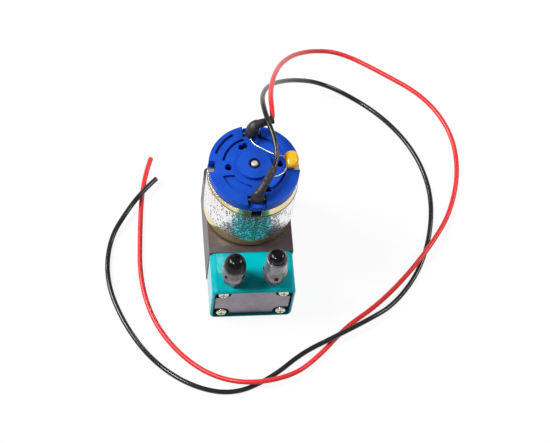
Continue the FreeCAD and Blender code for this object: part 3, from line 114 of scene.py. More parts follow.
def wire(name, route, material, radius_mm=0.9):
    """A tube along a NURBS spline of order 3 whose control points are the route's."""
    curve = bpy.data.curves.new(name, "CURVE")
    curve.dimensions = "3D"
    curve.bevel_depth = radius_mm / 1000
    curve.bevel_resolution = 6
    curve.resolution_u = 16
    curve.use_fill_caps = True
    spline = curve.splines.new("NURBS")
    spline.points.add(len(route) - 1)
    for point, (x, y, z) in zip(spline.points, route):
        point.co = (x / 1000, y / 1000, z / 1000, 1)
    spline.order_u = 3
    spline.use_endpoint_u = True
    curve.materials.append(material)
    piece = bpy.data.objects.new(name, curve)
    bpy.context.scene.collection.objects.link(piece)
    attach(piece, "pump")
    return piece


red_route = [
    (6.4, 23.9, 54.9), (7.2, 24.7, 55.1), (7.4, 29.7, 54.4), (7.5, 34.4, 52.8), (8.6, 42.0, 48.0),
    (11.0, 51.5, 41.0), (15.5, 64.0, 29.0), (22.0, 75.0, 17.5), (31.0, 83.5, 7.0),
    (43.0, 86.5, 0.9), (58.0, 77.0, 0.9), (74.0, 65.5, 0.9), (82.5, 50.0, 0.9), (83.5, 33.0, 0.9),
    (78.5, 15.5, 0.9), (70.2, 2.0, 3.1), (58.5, -12.0, 3.1), (46.5, -22.7, 0.9),
    (34.0, -31.0, 0.9), (23.5, -42.0, 0.9), (13.0, -50.2, 3.1), (-3.0, -52.6, 3.1),
    (-16.5, -47.7, 0.9), (-28.0, -37.5, 0.9), (-35.8, -24.0, 0.9), (-39.0, -8.0, 0.9),
    (-38.2, 9.0, 0.9), (-37.0, 24.0, 0.9), (-35.0, 34.5, 0.9), (-32.7, 41.0, 0.9),
]
black_route = [
    (5.7, 3.95, 56.05), (7.6, 7.9, 56.5), (7.1, 15.0, 57.8), (5.3, 21.5, 58.1), (4.2, 29.5, 56.0),
    (5.0, 38.0, 49.1), (8.2, 47.5, 39.5), (14.0, 57.3, 27.0), (22.2, 65.2, 15.5), (32.6, 69.8, 6.0),
    (44.8, 66.6, 0.9), (57.5, 56.0, 0.9), (67.3, 41.6, 0.9), (71.8, 24.5, 0.9), (69.9, 7.0, 0.9),
    (63.6, -9.5, 0.9), (53.0, -22.5, 0.9), (42.2, -29.4, 3.1), (28.5, -36.0, 3.1),
    (17.5, -40.4, 0.9), (6.0, -49.5, 0.9), (-8.0, -55.5, 0.9), (-22.5, -52.0, 0.9),
    (-35.7, -42.0, 0.9), (-45.4, -27.0, 0.9), (-51.2, -9.5, 0.9), (-49.4, 7.5, 0.9),
    (-41.8, 19.0, 3.1), (-36.0, 26.4, 3.1), (-31.2, 31.6, 1.9),
]
red = wire("red_lead", red_route,
           insulation("silicone_insulation_red", "#F4272C", "#E93A3A", rough=0.3))
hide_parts("red_wire")
black = wire("black_lead", black_route,
             insulation("silicone_insulation_black", "#161618", "#212123", rough=0.13))
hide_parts("black_wire")


# The set: a white sweep of paper under the pump. It glows to the camera and in gloss, so it looks
# white there and still takes the shadow, and to all other light it is plain paper.
def white_floor():
    """White paper: a weak diffuse part under a glow where it is seen, plain diffuse elsewhere."""
    material = empty_material("white_paper_sweep")
    seen = add(material, "LightPath").outputs
    direct = add(material, "Math", {0: seen["Is Camera Ray"], 1: seen["Is Glossy Ray"]},
                 operation="MAXIMUM")
    clear = add(material, "Math", {0: direct.outputs[0], 1: seen["Is Transmission Ray"]},
                operation="MAXIMUM")
    paper = add(material, "BsdfDiffuse", {"Color": linear("#E6E6E6")})
    shaded = add(material, "BsdfDiffuse", {"Color": [0.11, 0.11, 0.11, 1]})
    glow = add(material, "Emission", {"Color": [1, 1, 1, 1], "Strength": 0.91})
    both = add(material, "AddShader", {0: shaded.outputs[0], 1: glow.outputs[0]})
    mix = add(material, "MixShader", {0: clear.outputs[0], 1: paper.outputs[0], 2: both.outputs[0]})
    add(material, "OutputMaterial", {"Surface": mix.outputs[0]})
    return material


half_floor = 3
floor_corners = [(x * half_floor, y * half_floor, 0)
                 for x, y in ((-1, -1), (1, -1), (1, 1), (-1, 1))]
floor_mesh = bpy.data.meshes.new("floor")
floor_mesh.from_pydata(floor_corners, [], [(0, 1, 2, 3)])
floor_mesh.materials.append(white_floor())
floor = bpy.data.objects.new("floor", floor_mesh)
bpy.context.scene.collection.objects.link(floor)


# The light: a softbox high on the left is the key and a weaker one on the right fills. The two
# small panels show in gloss alone, as the glints on the plugs, the nuts and the head's edge.
def lamp(name, direction, size, power, colour=(1.0, 1.0, 1.0), distance=1.3):
    """A square area lamp that far off in a direction from the pump's middle, facing it."""
    pump_middle = Vector((0, 0, 0.03))
    light = bpy.data.lights.new(name, "AREA")
    light.size = size
    light.energy = power
    light.color = colour
    source = bpy.data.objects.new(name, light)
    bpy.context.scene.collection.objects.link(source)
    towards = Vector(direction).normalized()
    source.location = pump_middle + towards * distance
    source.rotation_euler = towards.to_track_quat("Z", "Y").to_euler()
    return source


lamp("left_softbox", (-0.68, 0.16, 0.66), size=0.55, power=19.0, colour=(1.0, 0.99, 0.97))
lamp("right_softbox", (0.70, 0.16, 0.60), size=0.5, power=7.0)
glint_panel = lamp("glint_panel", (-0.35, -0.17, 0.91), size=0.24, power=9.0)
glint_panel.visible_diffuse = False
edge_strip = lamp("edge_strip", (-0.71, 0.46, 0.53), size=0.12, power=1.8)
edge_strip.visible_diffuse = False

# The room: white to the camera, half as bright in gloss, and a tenth of that white for the light
# that it sheds on the pump.
room = bpy.data.worlds.new("room")
bpy.context.scene.world = room
room.use_nodes = True
room.node_tree.nodes.clear()
seen = add(room, "LightPath").outputs
mirrored = add(room, "Math", {0: seen["Is Glossy Ray"], 1: 0.5}, operation="MULTIPLY").outputs[0]
most = add(room, "Math", {0: seen["Is Camera Ray"], 1: mirrored}, operation="MAXIMUM").outputs[0]
strength = add(room, "Math", {0: most, 1: 0.1}, operation="MAXIMUM").outputs[0]
backdrop = add(room, "Background", {"Color": [1, 1, 1, 1], "Strength": strength}).outputs[0]
add(room, "OutputWorld", {"Surface": backdrop})


# Crank housing: the mauve-brown box that carries motor and head, injection moulded in glass-filled
# nylon. The tool was spark eroded, which leaves the fine satin grain.
def dress(material, *names):
    """Give every slot of the named CAD nodes this material."""
    for name in names:
        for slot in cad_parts[name].material_slots:
            slot.material = material


def moulded(name, colour, shade, grain_mm, rough, depth_mm, edge_mm, gloss=0.25, painted_hollow_shade=None):
    """Moulded plastic or rubber: colour that drifts a little towards the shade, grain of a real
    size, rounded edges, and painted shade that darkens narrow hollows towards a dark colour where
    one is given."""
    drift_mm, painted_shade_reach_mm = 11.11, 1.6
    material = empty_material(name)
    place = add(material, "TexCoord").outputs["Object"]
    drift = add(material, "TexNoise", {"Vector": place, "Scale": 1000 / drift_mm, "Detail": 4,
                                       "Roughness": 0.6})
    grain = add(material, "TexNoise", {"Vector": place, "Scale": 1000 / grain_mm, "Detail": 3})
    tint = add(material, "MapRange", {"Value": drift.outputs["Fac"],
                                      "From Min": 0.35, "From Max": 0.65})
    mix = add(material, "Mix", {"Factor": tint.outputs["Result"],
                                "A": linear(colour), "B": linear(shade)}, data_type="RGBA")
    # Painted shade: the colour darkens in narrow hollows, where little of the surroundings is open.
    if painted_hollow_shade:
        exposed = add(material, "AmbientOcclusion", {"Distance": painted_shade_reach_mm / 1000}, samples=8)
        clear = add(material, "MapRange", {"Value": exposed.outputs["AO"],
                                           "From Min": 0.1, "From Max": 0.52})
        mix = add(material, "Mix", {"Factor": clear.outputs["Result"], "A": linear(painted_hollow_shade),
                                    "B": mix.outputs["Result"]}, data_type="RGBA")
    sheen = add(material, "MapRange", {"Value": grain.outputs["Fac"],
                                       "To Min": rough - 0.07, "To Max": rough + 0.07})
    edge = add(material, "Bevel", {"Radius": edge_mm / 1000}, samples=6)
    bump = add(material, "Bump", {"Height": grain.outputs["Fac"], "Strength": 1.0,
                                  "Distance": depth_mm / 1000, "Normal": edge.outputs["Normal"]})
    body = add(material, "BsdfPrincipled", {
        "Base Color": mix.outputs["Result"], "Roughness": sheen.outputs["Result"],
        "IOR": 1.5, "Specular IOR Level": gloss, "Normal": bump.outputs["Normal"]})
    add(material, "OutputMaterial", {"Surface": body.outputs["BSDF"]})
    return material


dress(moulded("nylon_glass_filled_eroded_grain", "#514347", "#44373B", grain_mm=0.25, rough=0.4,
              depth_mm=0.012, edge_mm=0.25, gloss=0.4), "crank_housing")


# Bottom cover: a stamped steel disc, zinc plated, held by three small countersunk screws. It
# closes the crank chamber and is seen only from below. Its screws, and the ones that are hidden
# inside the pump, are blackened steel.
def metal(name, colour, shade, grain_mm, stretch, rough, depth_mm):
    """Worked metal: the tool's lines, long on an axis where the stretch is below one, rounded
    edges, and stains where the colour drifts towards the shade."""
    stain_mm, edge_mm = 7.143, 0.12
    material = empty_material(name)
    place = add(material, "TexCoord").outputs["Object"]
    along = add(material, "Mapping", {"Vector": place, "Scale": stretch}).outputs["Vector"]
    lines = add(material, "TexNoise", {"Vector": along, "Scale": 1000 / grain_mm, "Detail": 3})
    stain = add(material, "TexNoise", {"Vector": place, "Scale": 1000 / stain_mm, "Detail": 5,
                                       "Roughness": 0.65})
    tint = add(material, "MapRange", {"Value": stain.outputs["Fac"],
                                      "From Min": 0.35, "From Max": 0.68})
    mix = add(material, "Mix", {"Factor": tint.outputs["Result"],
                                "A": linear(colour), "B": linear(shade)}, data_type="RGBA")
    sheen = add(material, "MapRange", {"Value": lines.outputs["Fac"],
                                       "To Min": rough - 0.08, "To Max": rough + 0.1})
    edge = add(material, "Bevel", {"Radius": edge_mm / 1000}, samples=6)
    bump = add(material, "Bump", {"Height": lines.outputs["Fac"], "Strength": 1.0,
                                  "Distance": depth_mm / 1000, "Normal": edge.outputs["Normal"]})
    body = add(material, "BsdfPrincipled", {
        "Base Color": mix.outputs["Result"], "Metallic": 1.0,
        "Roughness": sheen.outputs["Result"], "Normal": bump.outputs["Normal"]})
    add(material, "OutputMaterial", {"Surface": body.outputs["BSDF"]})
    return material


dress(metal("steel_stamped_clear_zinc", "#C9CCCE", "#A9ADB0", grain_mm=0.2, stretch=(1, 1, 1),
            rough=0.3, depth_mm=0.004), "bottom_cover")
dress(metal("steel_screws_black_oxide", "#3A3A3C", "#2A2A2C", grain_mm=0.2, stretch=(1, 1, 1),
            rough=0.35, depth_mm=0.004),
      "bottom_cover_screws", "motor_screws", "set_screw", "clamp_screw")

# Motor can: deep-drawn steel with a pale yellow zinc passivation, two tabs crimped over the cap.
# The drawing leaves fine upright lines and the passivation drifts between straw and silver.
dress(metal("steel_drawn_yellow_zinc", "#EFE2A6", "#D8C988", grain_mm=0.35, stretch=(1, 1, 0.08),
            rough=0.16, depth_mm=0.002), "motor_can")

# Label: silvered polyester film wrapped round the can, its ends nearly meeting at the front, a
# little askew and uneven. Rows of short strokes stand for small print, as coarse as they need to
# be to show.
motor_y = 8.7
film_thickness = 0.1
label_tilt, label_lift = 0.11, 0.4


def skin(name, rings, material, node, body="pump"):
    """A closed surface over rings of points. Each ring joins the next with four-sided faces, and
    each end closes with three-sided ones on its mean point. Where the volume that the faces
    enclose comes out negative, they are all turned round, so they point outwards. An edge stays
    sharp where its faces turn by more than a radian."""
    sharp_angle = 1.0
    rows, around = rings.shape[:2]
    points = np.concatenate([rings.reshape(-1, 3), rings[:1].mean(1), rings[-1:].mean(1)])
    i, j = np.meshgrid(np.arange(rows - 1), np.arange(around), indexing="ij")
    near, far = (i * around + j).ravel(), (i * around + (j + 1) % around).ravel()
    quads = np.stack([near, far, far + around, near + around], 1)
    first, last = rows * around, rows * around + 1
    start = np.stack([far[:around], near[:around], np.full(around, first)], 1)
    finish = np.stack([near[-around:] + around, far[-around:] + around, np.full(around, last)], 1)
    ends = np.concatenate([start, finish])
    corners = points[np.concatenate([quads[:, :3], quads[:, [0, 2, 3]], ends])]
    volume = np.einsum("ij,ij->i", corners[:, 0], np.cross(corners[:, 1], corners[:, 2])).sum()
    if volume < 0:
        quads, ends = quads[:, ::-1], ends[:, ::-1]
    mesh = bpy.data.meshes.new(name)
    mesh.from_pydata((points / 1000).tolist(), [], quads.tolist() + ends.tolist())
    mesh.shade_smooth()
    mesh.set_sharp_from_angle(angle=sharp_angle)
    mesh.materials.append(material)
    piece = bpy.data.objects.new(name, mesh)
    bpy.context.scene.collection.objects.link(piece)
    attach(piece, body)
    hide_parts(node)
    return piece


def wrapped_film(inner, outer, low, high, seam, gap, around=240):
    """A band round the motor's axis, from the inner to the outer radius and from low to high. It
    is lifted a little and falls with x, and a gap stays open on either side of the seam."""
    turn = np.linspace(seam + gap / outer, seam + 2 * np.pi - gap / outer, around)[:, None]
    radius, height = np.array([(inner, low), (outer, low), (outer, high), (inner, high)]).T
    x = np.cos(turn) * radius
    y = motor_y + np.sin(turn) * radius
    return np.stack([x, y, height + label_lift - label_tilt * x], -1)


def silvered_film(name, film, ink, radius_mm, row_mm, stroke_mm, rim_shade_mm):
    """Silvered film with small print. The place on the can is cut into cells, columns by the arc
    length and rows by the height over the label's slant. A cell is inked where its random number
    passes a threshold that grows to either side, and where a slow noise doesn't leave a blank.
    The top rim is darkened as painted shade at the film's edge, and the line where the ends meet is
    darkened as well. Bare film is a creased mirror."""
    paragraph_mm, crease_mm, crease_depth_mm = 7.692, 2.381, 0.16
    dense_mm, sparse_mm = 4, 12.5
    half_stroke, blank_below, ink_strength = 0.39, 0.42, 0.85
    seam_x_mm, seam_half_mm = 0.4, 0.5
    material = empty_material(name)
    place = add(material, "TexCoord").outputs["Object"]
    centred = add(material, "Mapping", {"Vector": place, "Location": (0, -motor_y / 1000, 0)})
    split = add(material, "SeparateXYZ", {"Vector": centred.outputs["Vector"]}).outputs
    angle = add(material, "Math", {0: split["X"], 1: split["Y"]}, operation="ARCTAN2").outputs[0]
    across = add(material, "Math", {0: angle, 1: radius_mm / stroke_mm},
                 operation="MULTIPLY").outputs[0]
    level = add(material, "Math", {0: split["X"], 1: label_tilt, 2: split["Z"]},
                operation="MULTIPLY_ADD").outputs[0]
    upward = add(material, "Math", {0: level, 1: 1000 / row_mm}, operation="MULTIPLY").outputs[0]
    column = add(material, "Math", {0: across}, operation="FLOOR").outputs[0]
    row = add(material, "Math", {0: upward}, operation="FLOOR").outputs[0]
    cell = add(material, "CombineXYZ", {"X": column, "Y": row}).outputs["Vector"]
    chance = add(material, "TexWhiteNoise", {"Vector": cell},
                 noise_dimensions="2D").outputs["Value"]
    aside = add(material, "Math", {0: split["X"]}, operation="ABSOLUTE").outputs[0]
    threshold = add(material, "MapRange", {
        "Value": aside, "From Min": dense_mm / 1000, "From Max": sparse_mm / 1000,
        "To Min": 0.14, "To Max": 0.8}).outputs["Result"]
    struck = add(material, "Math", {0: chance, 1: threshold}, operation="GREATER_THAN").outputs[0]
    within = add(material, "Math", {0: upward}, operation="FRACT").outputs[0]
    centre = add(material, "Math", {0: within, 1: 0.5, 2: half_stroke},
                 operation="COMPARE").outputs[0]
    slow = add(material, "TexNoise", {"Vector": place, "Scale": 1000 / paragraph_mm, "Detail": 2})
    paragraph = add(material, "Math", {0: slow.outputs["Fac"], 1: blank_below},
                    operation="GREATER_THAN").outputs[0]
    stroke = add(material, "Math", {0: struck, 1: centre}, operation="MULTIPLY").outputs[0]
    printed = add(material, "Math", {0: stroke, 1: paragraph}, operation="MULTIPLY").outputs[0]
    middle = add(material, "Math", {0: split["X"], 1: seam_x_mm / 1000, 2: seam_half_mm / 1000},
                 operation="COMPARE").outputs[0]
    ahead = add(material, "Math", {0: split["Y"], 1: 0.0}, operation="LESS_THAN").outputs[0]
    seam = add(material, "Math", {0: middle, 1: ahead}, operation="MULTIPLY").outputs[0]
    # Painted shade: a dark band along the top of the film stands for the shadow at its edge.
    rim = add(material, "Math", {0: level, 1: rim_shade_mm / 1000}, operation="GREATER_THAN").outputs[0]
    rim_shade_and_seam = add(material, "Math", {0: seam, 1: rim}, operation="MAXIMUM").outputs[0]
    dark = add(material, "Math", {0: printed, 1: rim_shade_and_seam}, operation="MAXIMUM").outputs[0]
    # The painted rim shade and the dark seam line are mixed in with the print here.
    inked = add(material, "Math", {0: dark, 1: ink_strength}, operation="MULTIPLY").outputs[0]
    mix = add(material, "Mix", {"Factor": inked, "A": linear(film), "B": linear(ink)},
              data_type="RGBA")
    bare = add(material, "Math", {0: 1.0, 1: inked}, operation="SUBTRACT").outputs[0]
    crease = add(material, "TexNoise", {"Vector": place, "Scale": 1000 / crease_mm, "Detail": 3,
                                        "Roughness": 0.6})
    sheen = add(material, "MapRange", {"Value": crease.outputs["Fac"],
                                       "To Min": 0.16, "To Max": 0.36})
    bump = add(material, "Bump", {"Height": crease.outputs["Fac"], "Strength": 1.0,
                                  "Distance": crease_depth_mm / 1000})
    body = add(material, "BsdfPrincipled", {
        "Base Color": mix.outputs["Result"], "Metallic": bare,
        "Roughness": sheen.outputs["Result"], "Normal": bump.outputs["Normal"]})
    add(material, "OutputMaterial", {"Surface": body.outputs["BSDF"]})
    return material


low, high = (np.array(corner) * 1000 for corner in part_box("motor_label"))
outer = (high[0] - low[0]) / 2
film = silvered_film("polyester_film_silvered", "#F4F6F7", "#1E2024", radius_mm=16.1, row_mm=1.25,
                     stroke_mm=0.45, rim_shade_mm=42.9)
band = wrapped_film(outer - film_thickness, outer, low[2], high[2], seam=math.radians(-88.55),
                    gap=0.12)
skin("wrapped_label", band, film, "motor_label")

# End cap: blue PBT, injection moulded in a polished tool, so it has a soft gloss. Its slots and
# holes are darkened with painted shade. It carries the rear bush, the brushes and the terminals.
# Painted shade: its slots and holes darken to near black.
dress(moulded("pbt_blue_polished_mould", "#2259D2", "#1B4EC2", grain_mm=0.6, rough=0.34,
              depth_mm=0.006, edge_mm=0.2, gloss=0.06, painted_hollow_shade="#04081A"), "end_cap")

# Brush terminals: stamped brass strips that stand out of the cap's pads, and the two carbon
# brushes that they feed. The brass is dull from the stamping, the pressed carbon matt and grainy.
dress(metal("brass_stamped", "#E6D29A", "#CDB274", grain_mm=0.2, stretch=(1, 1, 0.2), rough=0.4,
            depth_mm=0.004), "brush_terminals")
dress(moulded("carbon_pressed", "#2A2A2A", "#1C1C1C", grain_mm=0.1, rough=0.6, depth_mm=0.02,
              edge_mm=0.1), "carbon_brushes")

# Motor works: ferrite magnets, sintered bushes, laminated core, enamelled windings, copper
# commutator, and the ground shaft with nylon washers, eccentric, ball bearing and nylon rod. Only
# the shaft's bright end shows, in its oiled bush in the middle of the cap; the bush's bronze is
# darkened beyond the oil with painted shade.
dress(moulded("ferrite_sintered", "#38383A", "#2C2C2E", grain_mm=0.15, rough=0.5, depth_mm=0.01,
              edge_mm=0.2), "motor_magnets")
# Painted shade: the bushes are darker than oiled bronze, for the shade in the cap's well.
dress(metal("bronze_sintered_oiled_painted_shade", "#3A2F24", "#2A221B", grain_mm=0.12, stretch=(1, 1, 1),
            rough=0.5, depth_mm=0.012), "front_bearing", "rear_bearing")
dress(metal("silicon_steel_laminated", "#8E9092", "#74777A", grain_mm=0.35,
            stretch=(0.03, 0.03, 1), rough=0.35, depth_mm=0.02), "rotor_core")
dress(metal("copper_wire_enamelled", "#B5562C", "#8A3B1C", grain_mm=0.3, stretch=(0.1, 0.1, 1),
            rough=0.3, depth_mm=0.05), "rotor_windings")
dress(metal("copper_turned", "#D08050", "#B5683E", grain_mm=0.1, stretch=(0.05, 0.05, 1),
            rough=0.28, depth_mm=0.004), "commutator")
dress(metal("steel_ground", "#E6E7E8", "#D2D4D6", grain_mm=0.08, stretch=(0.05, 0.05, 1),
            rough=0.42, depth_mm=0.002),
      "motor_shaft", "bearing_inner_ring", "bearing_outer_ring", "bearing_balls", "eccentric")
dress(moulded("nylon_natural", "#E8E6DC", "#DEDACC", grain_mm=0.3, rough=0.45, depth_mm=0.01,
              edge_mm=0.15), "thrust_washers", "connecting_rod", "valve_seats")

# Diaphragm, valve discs and gasket: moulded rubber, matt black. The diaphragm is held between
# housing and head, and the rod pushes its middle through a turned stainless disc.
dress(moulded("rubber_moulded_matt", "#232324", "#1B1B1C", grain_mm=0.2, rough=0.62,
              depth_mm=0.02, edge_mm=0.15),
      "diaphragm", "valve_gasket", "inlet_valve_disc", "outlet_valve_disc", "port_rings")
dress(metal("stainless_turned", "#B9BBBD", "#A2A5A8", grain_mm=0.15, stretch=(0.05, 1, 0.05),
            rough=0.25, depth_mm=0.003), "diaphragm_clamp")

# Pump head: teal ABS, injection moulded in a polished tool, which gives it a high gloss.
# Its front is hollowed for the valve cover and plate, and the two ports stand on its top.
dress(moulded("abs_teal_high_gloss", "#00BAC2", "#00AEB8", grain_mm=0.8, rough=0.11,
              depth_mm=0.004, edge_mm=0.35, gloss=0.1), "pump_head")

# Valve cover: a black plate moulded in ABS that closes the valve pockets. The steel plate in front
# presses it home, and only its satin rim shows round that.
dress(moulded("abs_black_satin", "#1B1B1E", "#242427", grain_mm=0.25, rough=0.4, depth_mm=0.008,
              edge_mm=0.15), "valve_cover")

# Front plate: cold-rolled stainless sheet, laser cut, its corners cut away round the screw heads.
# Rolling leaves faint lines along its length and a soft grey shine.
dress(metal("stainless_cold_rolled", "#8C868E", "#78727A", grain_mm=0.25, stretch=(0.06, 1, 1),
            rough=0.38, depth_mm=0.006), "front_plate")

# Head screws: four cross-head screws that draw plate, cover and head together. Their steel is
# nickel plated, a bright mirror with a warm cast.
dress(metal("steel_nickel_plated", "#DEDCCB", "#C8C5B0", grain_mm=0.2, stretch=(1, 1, 1),
            rough=0.16, depth_mm=0.003), "head_screws")

# Hose fittings and their nuts: grey acetal, moulded and glossy, with painted shade that darkens the
# hollows nearly to black. Each fitting stands in a port of the head on a hexagon, and on that the
# notched nut stands round the nipple.
# Painted shade: the hollows of fittings and nuts darken nearly to black.
dress(moulded("acetal_grey_moulded", "#76767C", "#5E5E64", grain_mm=0.5, rough=0.15,
              depth_mm=0.006, edge_mm=0.25, gloss=1.0, painted_hollow_shade="#121214"),
      "left_fitting", "right_fitting", "left_port_nut", "right_port_nut")


# Plugs: soft black caps, dipped in vinyl, so glossy and round, and pushed over the nipples. The
# left one spreads over its nut with a thin skirt, the right one is a narrow dome on its seat.
def turned_skin(middle, profile, around=96):
    """A turned shape: every station of the profile is a circle of its radius at its height."""
    radius, height = np.array(profile).T[..., None]
    turn = np.linspace(0, 2 * np.pi, around, endpoint=False)
    x = middle[0] + radius * np.cos(turn)
    y = middle[1] + radius * np.sin(turn)
    return np.stack([x, y, height + 0 * turn], -1)


vinyl = moulded("vinyl_dipped_black", "#050506", "#08080A", grain_mm=1.5, rough=0.14,
                depth_mm=0.004, edge_mm=0.2, gloss=0.22)
pole_radius, bore_radius, wall_radius, bore_depth = 0.3, 2.05, 2.9, 5.8
left_seat, right_seat = 31.87, 34.0
left_dome = [
    (3.84, left_seat), (3.84, 30.4), (3.87, 30.25), (3.93, 30.25), (3.96, 30.4), (3.93, 31.6),
    (3.82, 32.3), (3.58, 33.1), (3.25, 33.9), (2.8, 34.6), (2.25, 35.1), (1.6, 35.45), (0.8, 35.6),
    (pole_radius, 35.62),
]
right_dome = [
    (3.0, 34.2), (3.0, 36.3), (2.95, 36.9), (2.78, 37.45), (2.45, 37.95), (2.0, 38.28),
    (1.45, 38.48), (0.8, 38.58), (pole_radius, 38.6),
]
for side, seat, dome in (("left", left_seat, left_dome), ("right", right_seat, right_dome)):
    low, high = (np.array(corner) * 1000 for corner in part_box(side + "_stopper"))
    roof = low[2] + bore_depth
    tube = [(pole_radius, roof), (bore_radius, roof), (bore_radius, low[2]),
            (wall_radius, low[2]), (wall_radius, seat)]
    skin(side + "_plug", turned_skin((low + high) / 2, tube + dome), vinyl, side + "_stopper",
         side + "_plug")


# Capacitor: a ceramic chip dipped in amber resin that ran down the two leads a little before it
# set, so the drop has two feet. The coat is glossy, and deeper orange where it is thick and low.
# The leads are tinned copper wire.
def resin_drop(middle, half, feet, rows=60, around=96):
    """A superellipsoid: x, y and z of a direction are divided by the three half sizes and raised
    to the power of the roundness, and the radius is their sum to the power of minus one over the
    roundness. A foot is a direction and a rise: the radius grows by the rise over it, and less
    with the angle from it, as e to the minus (angle over spread) to the power of the falloff."""
    roundness, spread, falloff = 2.4, 0.4, 1.3
    up, turn = np.meshgrid(np.linspace(-np.pi / 2, np.pi / 2, rows)[1:-1],
                           np.linspace(0, 2 * np.pi, around, endpoint=False), indexing="ij")
    way = np.stack([np.cos(up) * np.cos(turn), np.cos(up) * np.sin(turn), np.sin(up)], -1)
    reach = (np.abs(way / half) ** roundness).sum(-1) ** (-1 / roundness)
    for foot, rise in feet:
        away = np.arccos(np.clip(way @ (foot / np.linalg.norm(foot)), -1, 1))
        reach = reach * (1 + rise * np.exp(-(away / spread) ** falloff))
    return middle + way * reach[..., None]


def dipped_resin(name, bright, deep, low_mm, high_mm):
    """Resin over the chip: orange low on the drop, yellow on top, with slow waves in the coat."""
    wave_mm, wave_depth_mm = 3.333, 0.03
    material = empty_material(name)
    place = add(material, "TexCoord").outputs["Object"]
    height = add(material, "SeparateXYZ", {"Vector": place}).outputs["Z"]
    wave = add(material, "TexNoise", {"Vector": place, "Scale": 1000 / wave_mm, "Detail": 2})
    thin = add(material, "MapRange", {"Value": height, "From Min": low_mm / 1000,
                                      "From Max": high_mm / 1000})
    mix = add(material, "Mix", {"Factor": thin.outputs["Result"],
                                "A": linear(deep), "B": linear(bright)}, data_type="RGBA")
    bump = add(material, "Bump", {"Height": wave.outputs["Fac"], "Strength": 1.0,
                                  "Distance": wave_depth_mm / 1000})
    body = add(material, "BsdfPrincipled", {
        "Base Color": mix.outputs["Result"], "Roughness": 0.1, "IOR": 1.55,
        "Subsurface Weight": 0.25, "Subsurface Radius": (0.001, 0.0006, 0.0002),
        "Normal": bump.outputs["Normal"]})
    add(material, "OutputMaterial", {"Surface": body.outputs["BSDF"]})
    return material


low, high = (np.array(corner) * 1000 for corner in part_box("capacitor"))
chip_middle = (low + high) / 2 + [0.75, 0.05, 0]
chip_half = np.array([2.25, 3.2, 1.75])
feet = [(np.array([-2.75, 1.15, 0.25]), 0.42), (np.array([-2.0, -2.6, -0.1]), 0.3)]
resin = dipped_resin("epoxy_dipped_amber", "#FFC408", "#FF9400", low_mm=52.6, high_mm=54.6)
skin("amber_drop", resin_drop(chip_middle, chip_half, feet), resin, "capacitor")
dress(metal("copper_tinned", "#D2D4D6", "#B4B7BA", grain_mm=0.15, stretch=(1, 1, 1), rough=0.3,
            depth_mm=0.004), "capacitor_leads")


# Sleeves: grey-black polyolefin tube, shrunk with hot air over the soldered joints. Each stands
# wide over its terminal, narrows to the wire and keeps the creases of the shrinking. Its foot
# spreads into a wide skirt down in the cap's bay, a dark sheet put there as painted shade of the
# bay.
def smooth_rows(rows, steps):
    """A quadratic B-spline: half of one minus s squared, a half plus s times one minus s, and half
    of s squared weigh three rows that follow each other. One more row is mirrored through either
    end, so the curve runs half a row past both."""
    rows = np.array(rows, float)
    rows = np.concatenate([[2 * rows[0] - rows[1]], rows, [2 * rows[-1] - rows[-2]]])
    just_short = 1e-9
    along = np.linspace(0, len(rows) - 2, steps) - just_short
    first = np.clip(along.astype(int), 0, len(rows) - 3)
    s = (along - first)[:, None]
    before, at, after = rows[first], rows[first + 1], rows[first + 2]
    return before * (1 - s) ** 2 / 2 + at * (0.5 + s * (1 - s)) + after * s ** 2 / 2


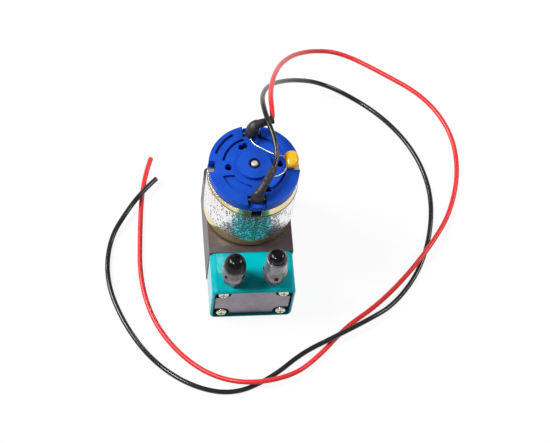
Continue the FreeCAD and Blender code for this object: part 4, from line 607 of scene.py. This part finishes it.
def shrunk_tube(stations, mouth, creases, steps=90, around=72):
    """Ovals across a line: a station is x, y, z, half width, half depth and the heading in degrees
    of the width. A crease is a sine wave of the oval's size: how deep, how long along the tube,
    how many times round it, and its phase. The mouth turns the last oval in: each of its rings is
    that oval times a size, moved along the line."""
    rows = smooth_rows(stations, steps)
    spine, wide, deep, heading = rows[:, :3], rows[:, 3], rows[:, 4], np.radians(rows[:, 5])
    ahead = np.gradient(spine, axis=0)
    ahead /= np.linalg.norm(ahead, axis=1, keepdims=True)
    side = np.stack([np.cos(heading), np.sin(heading), 0 * heading], 1)
    side -= ahead * (side * ahead).sum(1, keepdims=True)
    side /= np.linalg.norm(side, axis=1, keepdims=True)
    face = np.cross(ahead, side)
    turn = np.linspace(0, 2 * np.pi, around, endpoint=False)
    pace = np.linalg.norm(np.diff(spine, axis=0), axis=1)
    run = np.concatenate([[0], np.cumsum(pace)])[:, None]
    pinch = 1 + sum(size * np.sin(2 * np.pi * run / pitch + lobes * turn + phase)
                    for size, pitch, lobes, phase in creases)
    ring = side[:, None] * np.cos(turn)[:, None] * wide[:, None, None]
    ring = ring + face[:, None] * np.sin(turn)[:, None] * deep[:, None, None]
    body = spine[:, None] + ring * pinch[..., None]
    lip = [spine[-1] + (body[-1] - spine[-1]) * size + ahead[-1] * shift for size, shift in mouth]
    return np.concatenate([body, lip])


polyolefin = moulded("polyolefin_shrunk_satin", "#3A3A3E", "#2E2E31", grain_mm=0.7, rough=0.38,
                     depth_mm=0.02, edge_mm=0.1)
mouth = [(1.03, 0.05), (1.0, 0.14), (0.92, 0.14), (0.86, 0.0), (0.82, -0.5), (0.74, -1.8)]
creases = [(0.02, 2.3, 1, 0.4), (0.016, 1.5, 2, 1.7)]
# The first two stations are the skirt in the cap's bay: painted shade, a dark sheet where the bay
# is only in shadow.
front_stations = [
    (0.0, -4.4, 49.9, 2.9, 1.3, 0), (0.0, -4.4, 50.4, 2.85, 1.3, 0),
    (0.1, -4.5, 51.0, 2.3, 1.4, -2), (0.15, -4.5, 52.0, 2.35, 1.5, -3),
    (0.3, -4.2, 53.1, 2.3, 1.55, -8),
    (0.8, -3.5, 54.0, 1.75, 1.6, -24), (1.7, -2.2, 54.8, 1.5, 1.5, -35),
    (2.8, -0.7, 55.4, 1.42, 1.42, -38), (4.0, 1.1, 55.8, 1.38, 1.38, -38),
    (5.0, 2.8, 56.0, 1.4, 1.4, -34), (5.6, 3.9, 56.05, 1.46, 1.46, -27),
]
skin("front_shrink_tube", shrunk_tube(front_stations, mouth, creases), polyolefin,
     "front_sleeve")
# The first two stations are the skirt in the cap's bay: painted shade, a dark sheet where the bay
# is only in shadow.
rear_stations = [
    (-0.1, 21.8, 49.9, 2.9, 1.3, 0), (-0.1, 21.8, 50.4, 2.85, 1.3, 0),
    (-0.1, 21.1, 51.2, 1.7, 2.0, 0), (-0.1, 20.8, 52.0, 2.0, 2.3, 0),
    (-0.1, 21.1, 53.2, 2.15, 2.4, 2), (0.1, 21.7, 54.4, 2.1, 2.25, 20),
    (1.2, 22.4, 55.2, 1.8, 1.95, 62), (2.6, 22.85, 55.4, 1.5, 1.7, 95),
    (4.2, 23.4, 55.2, 1.4, 1.5, 110), (5.6, 24.0, 55.0, 1.4, 1.4, 120),
    (6.6, 24.4, 54.95, 1.46, 1.46, 124),
]
skin("rear_shrink_tube", shrunk_tube(rear_stations, mouth, creases), polyolefin,
     "rear_sleeve")
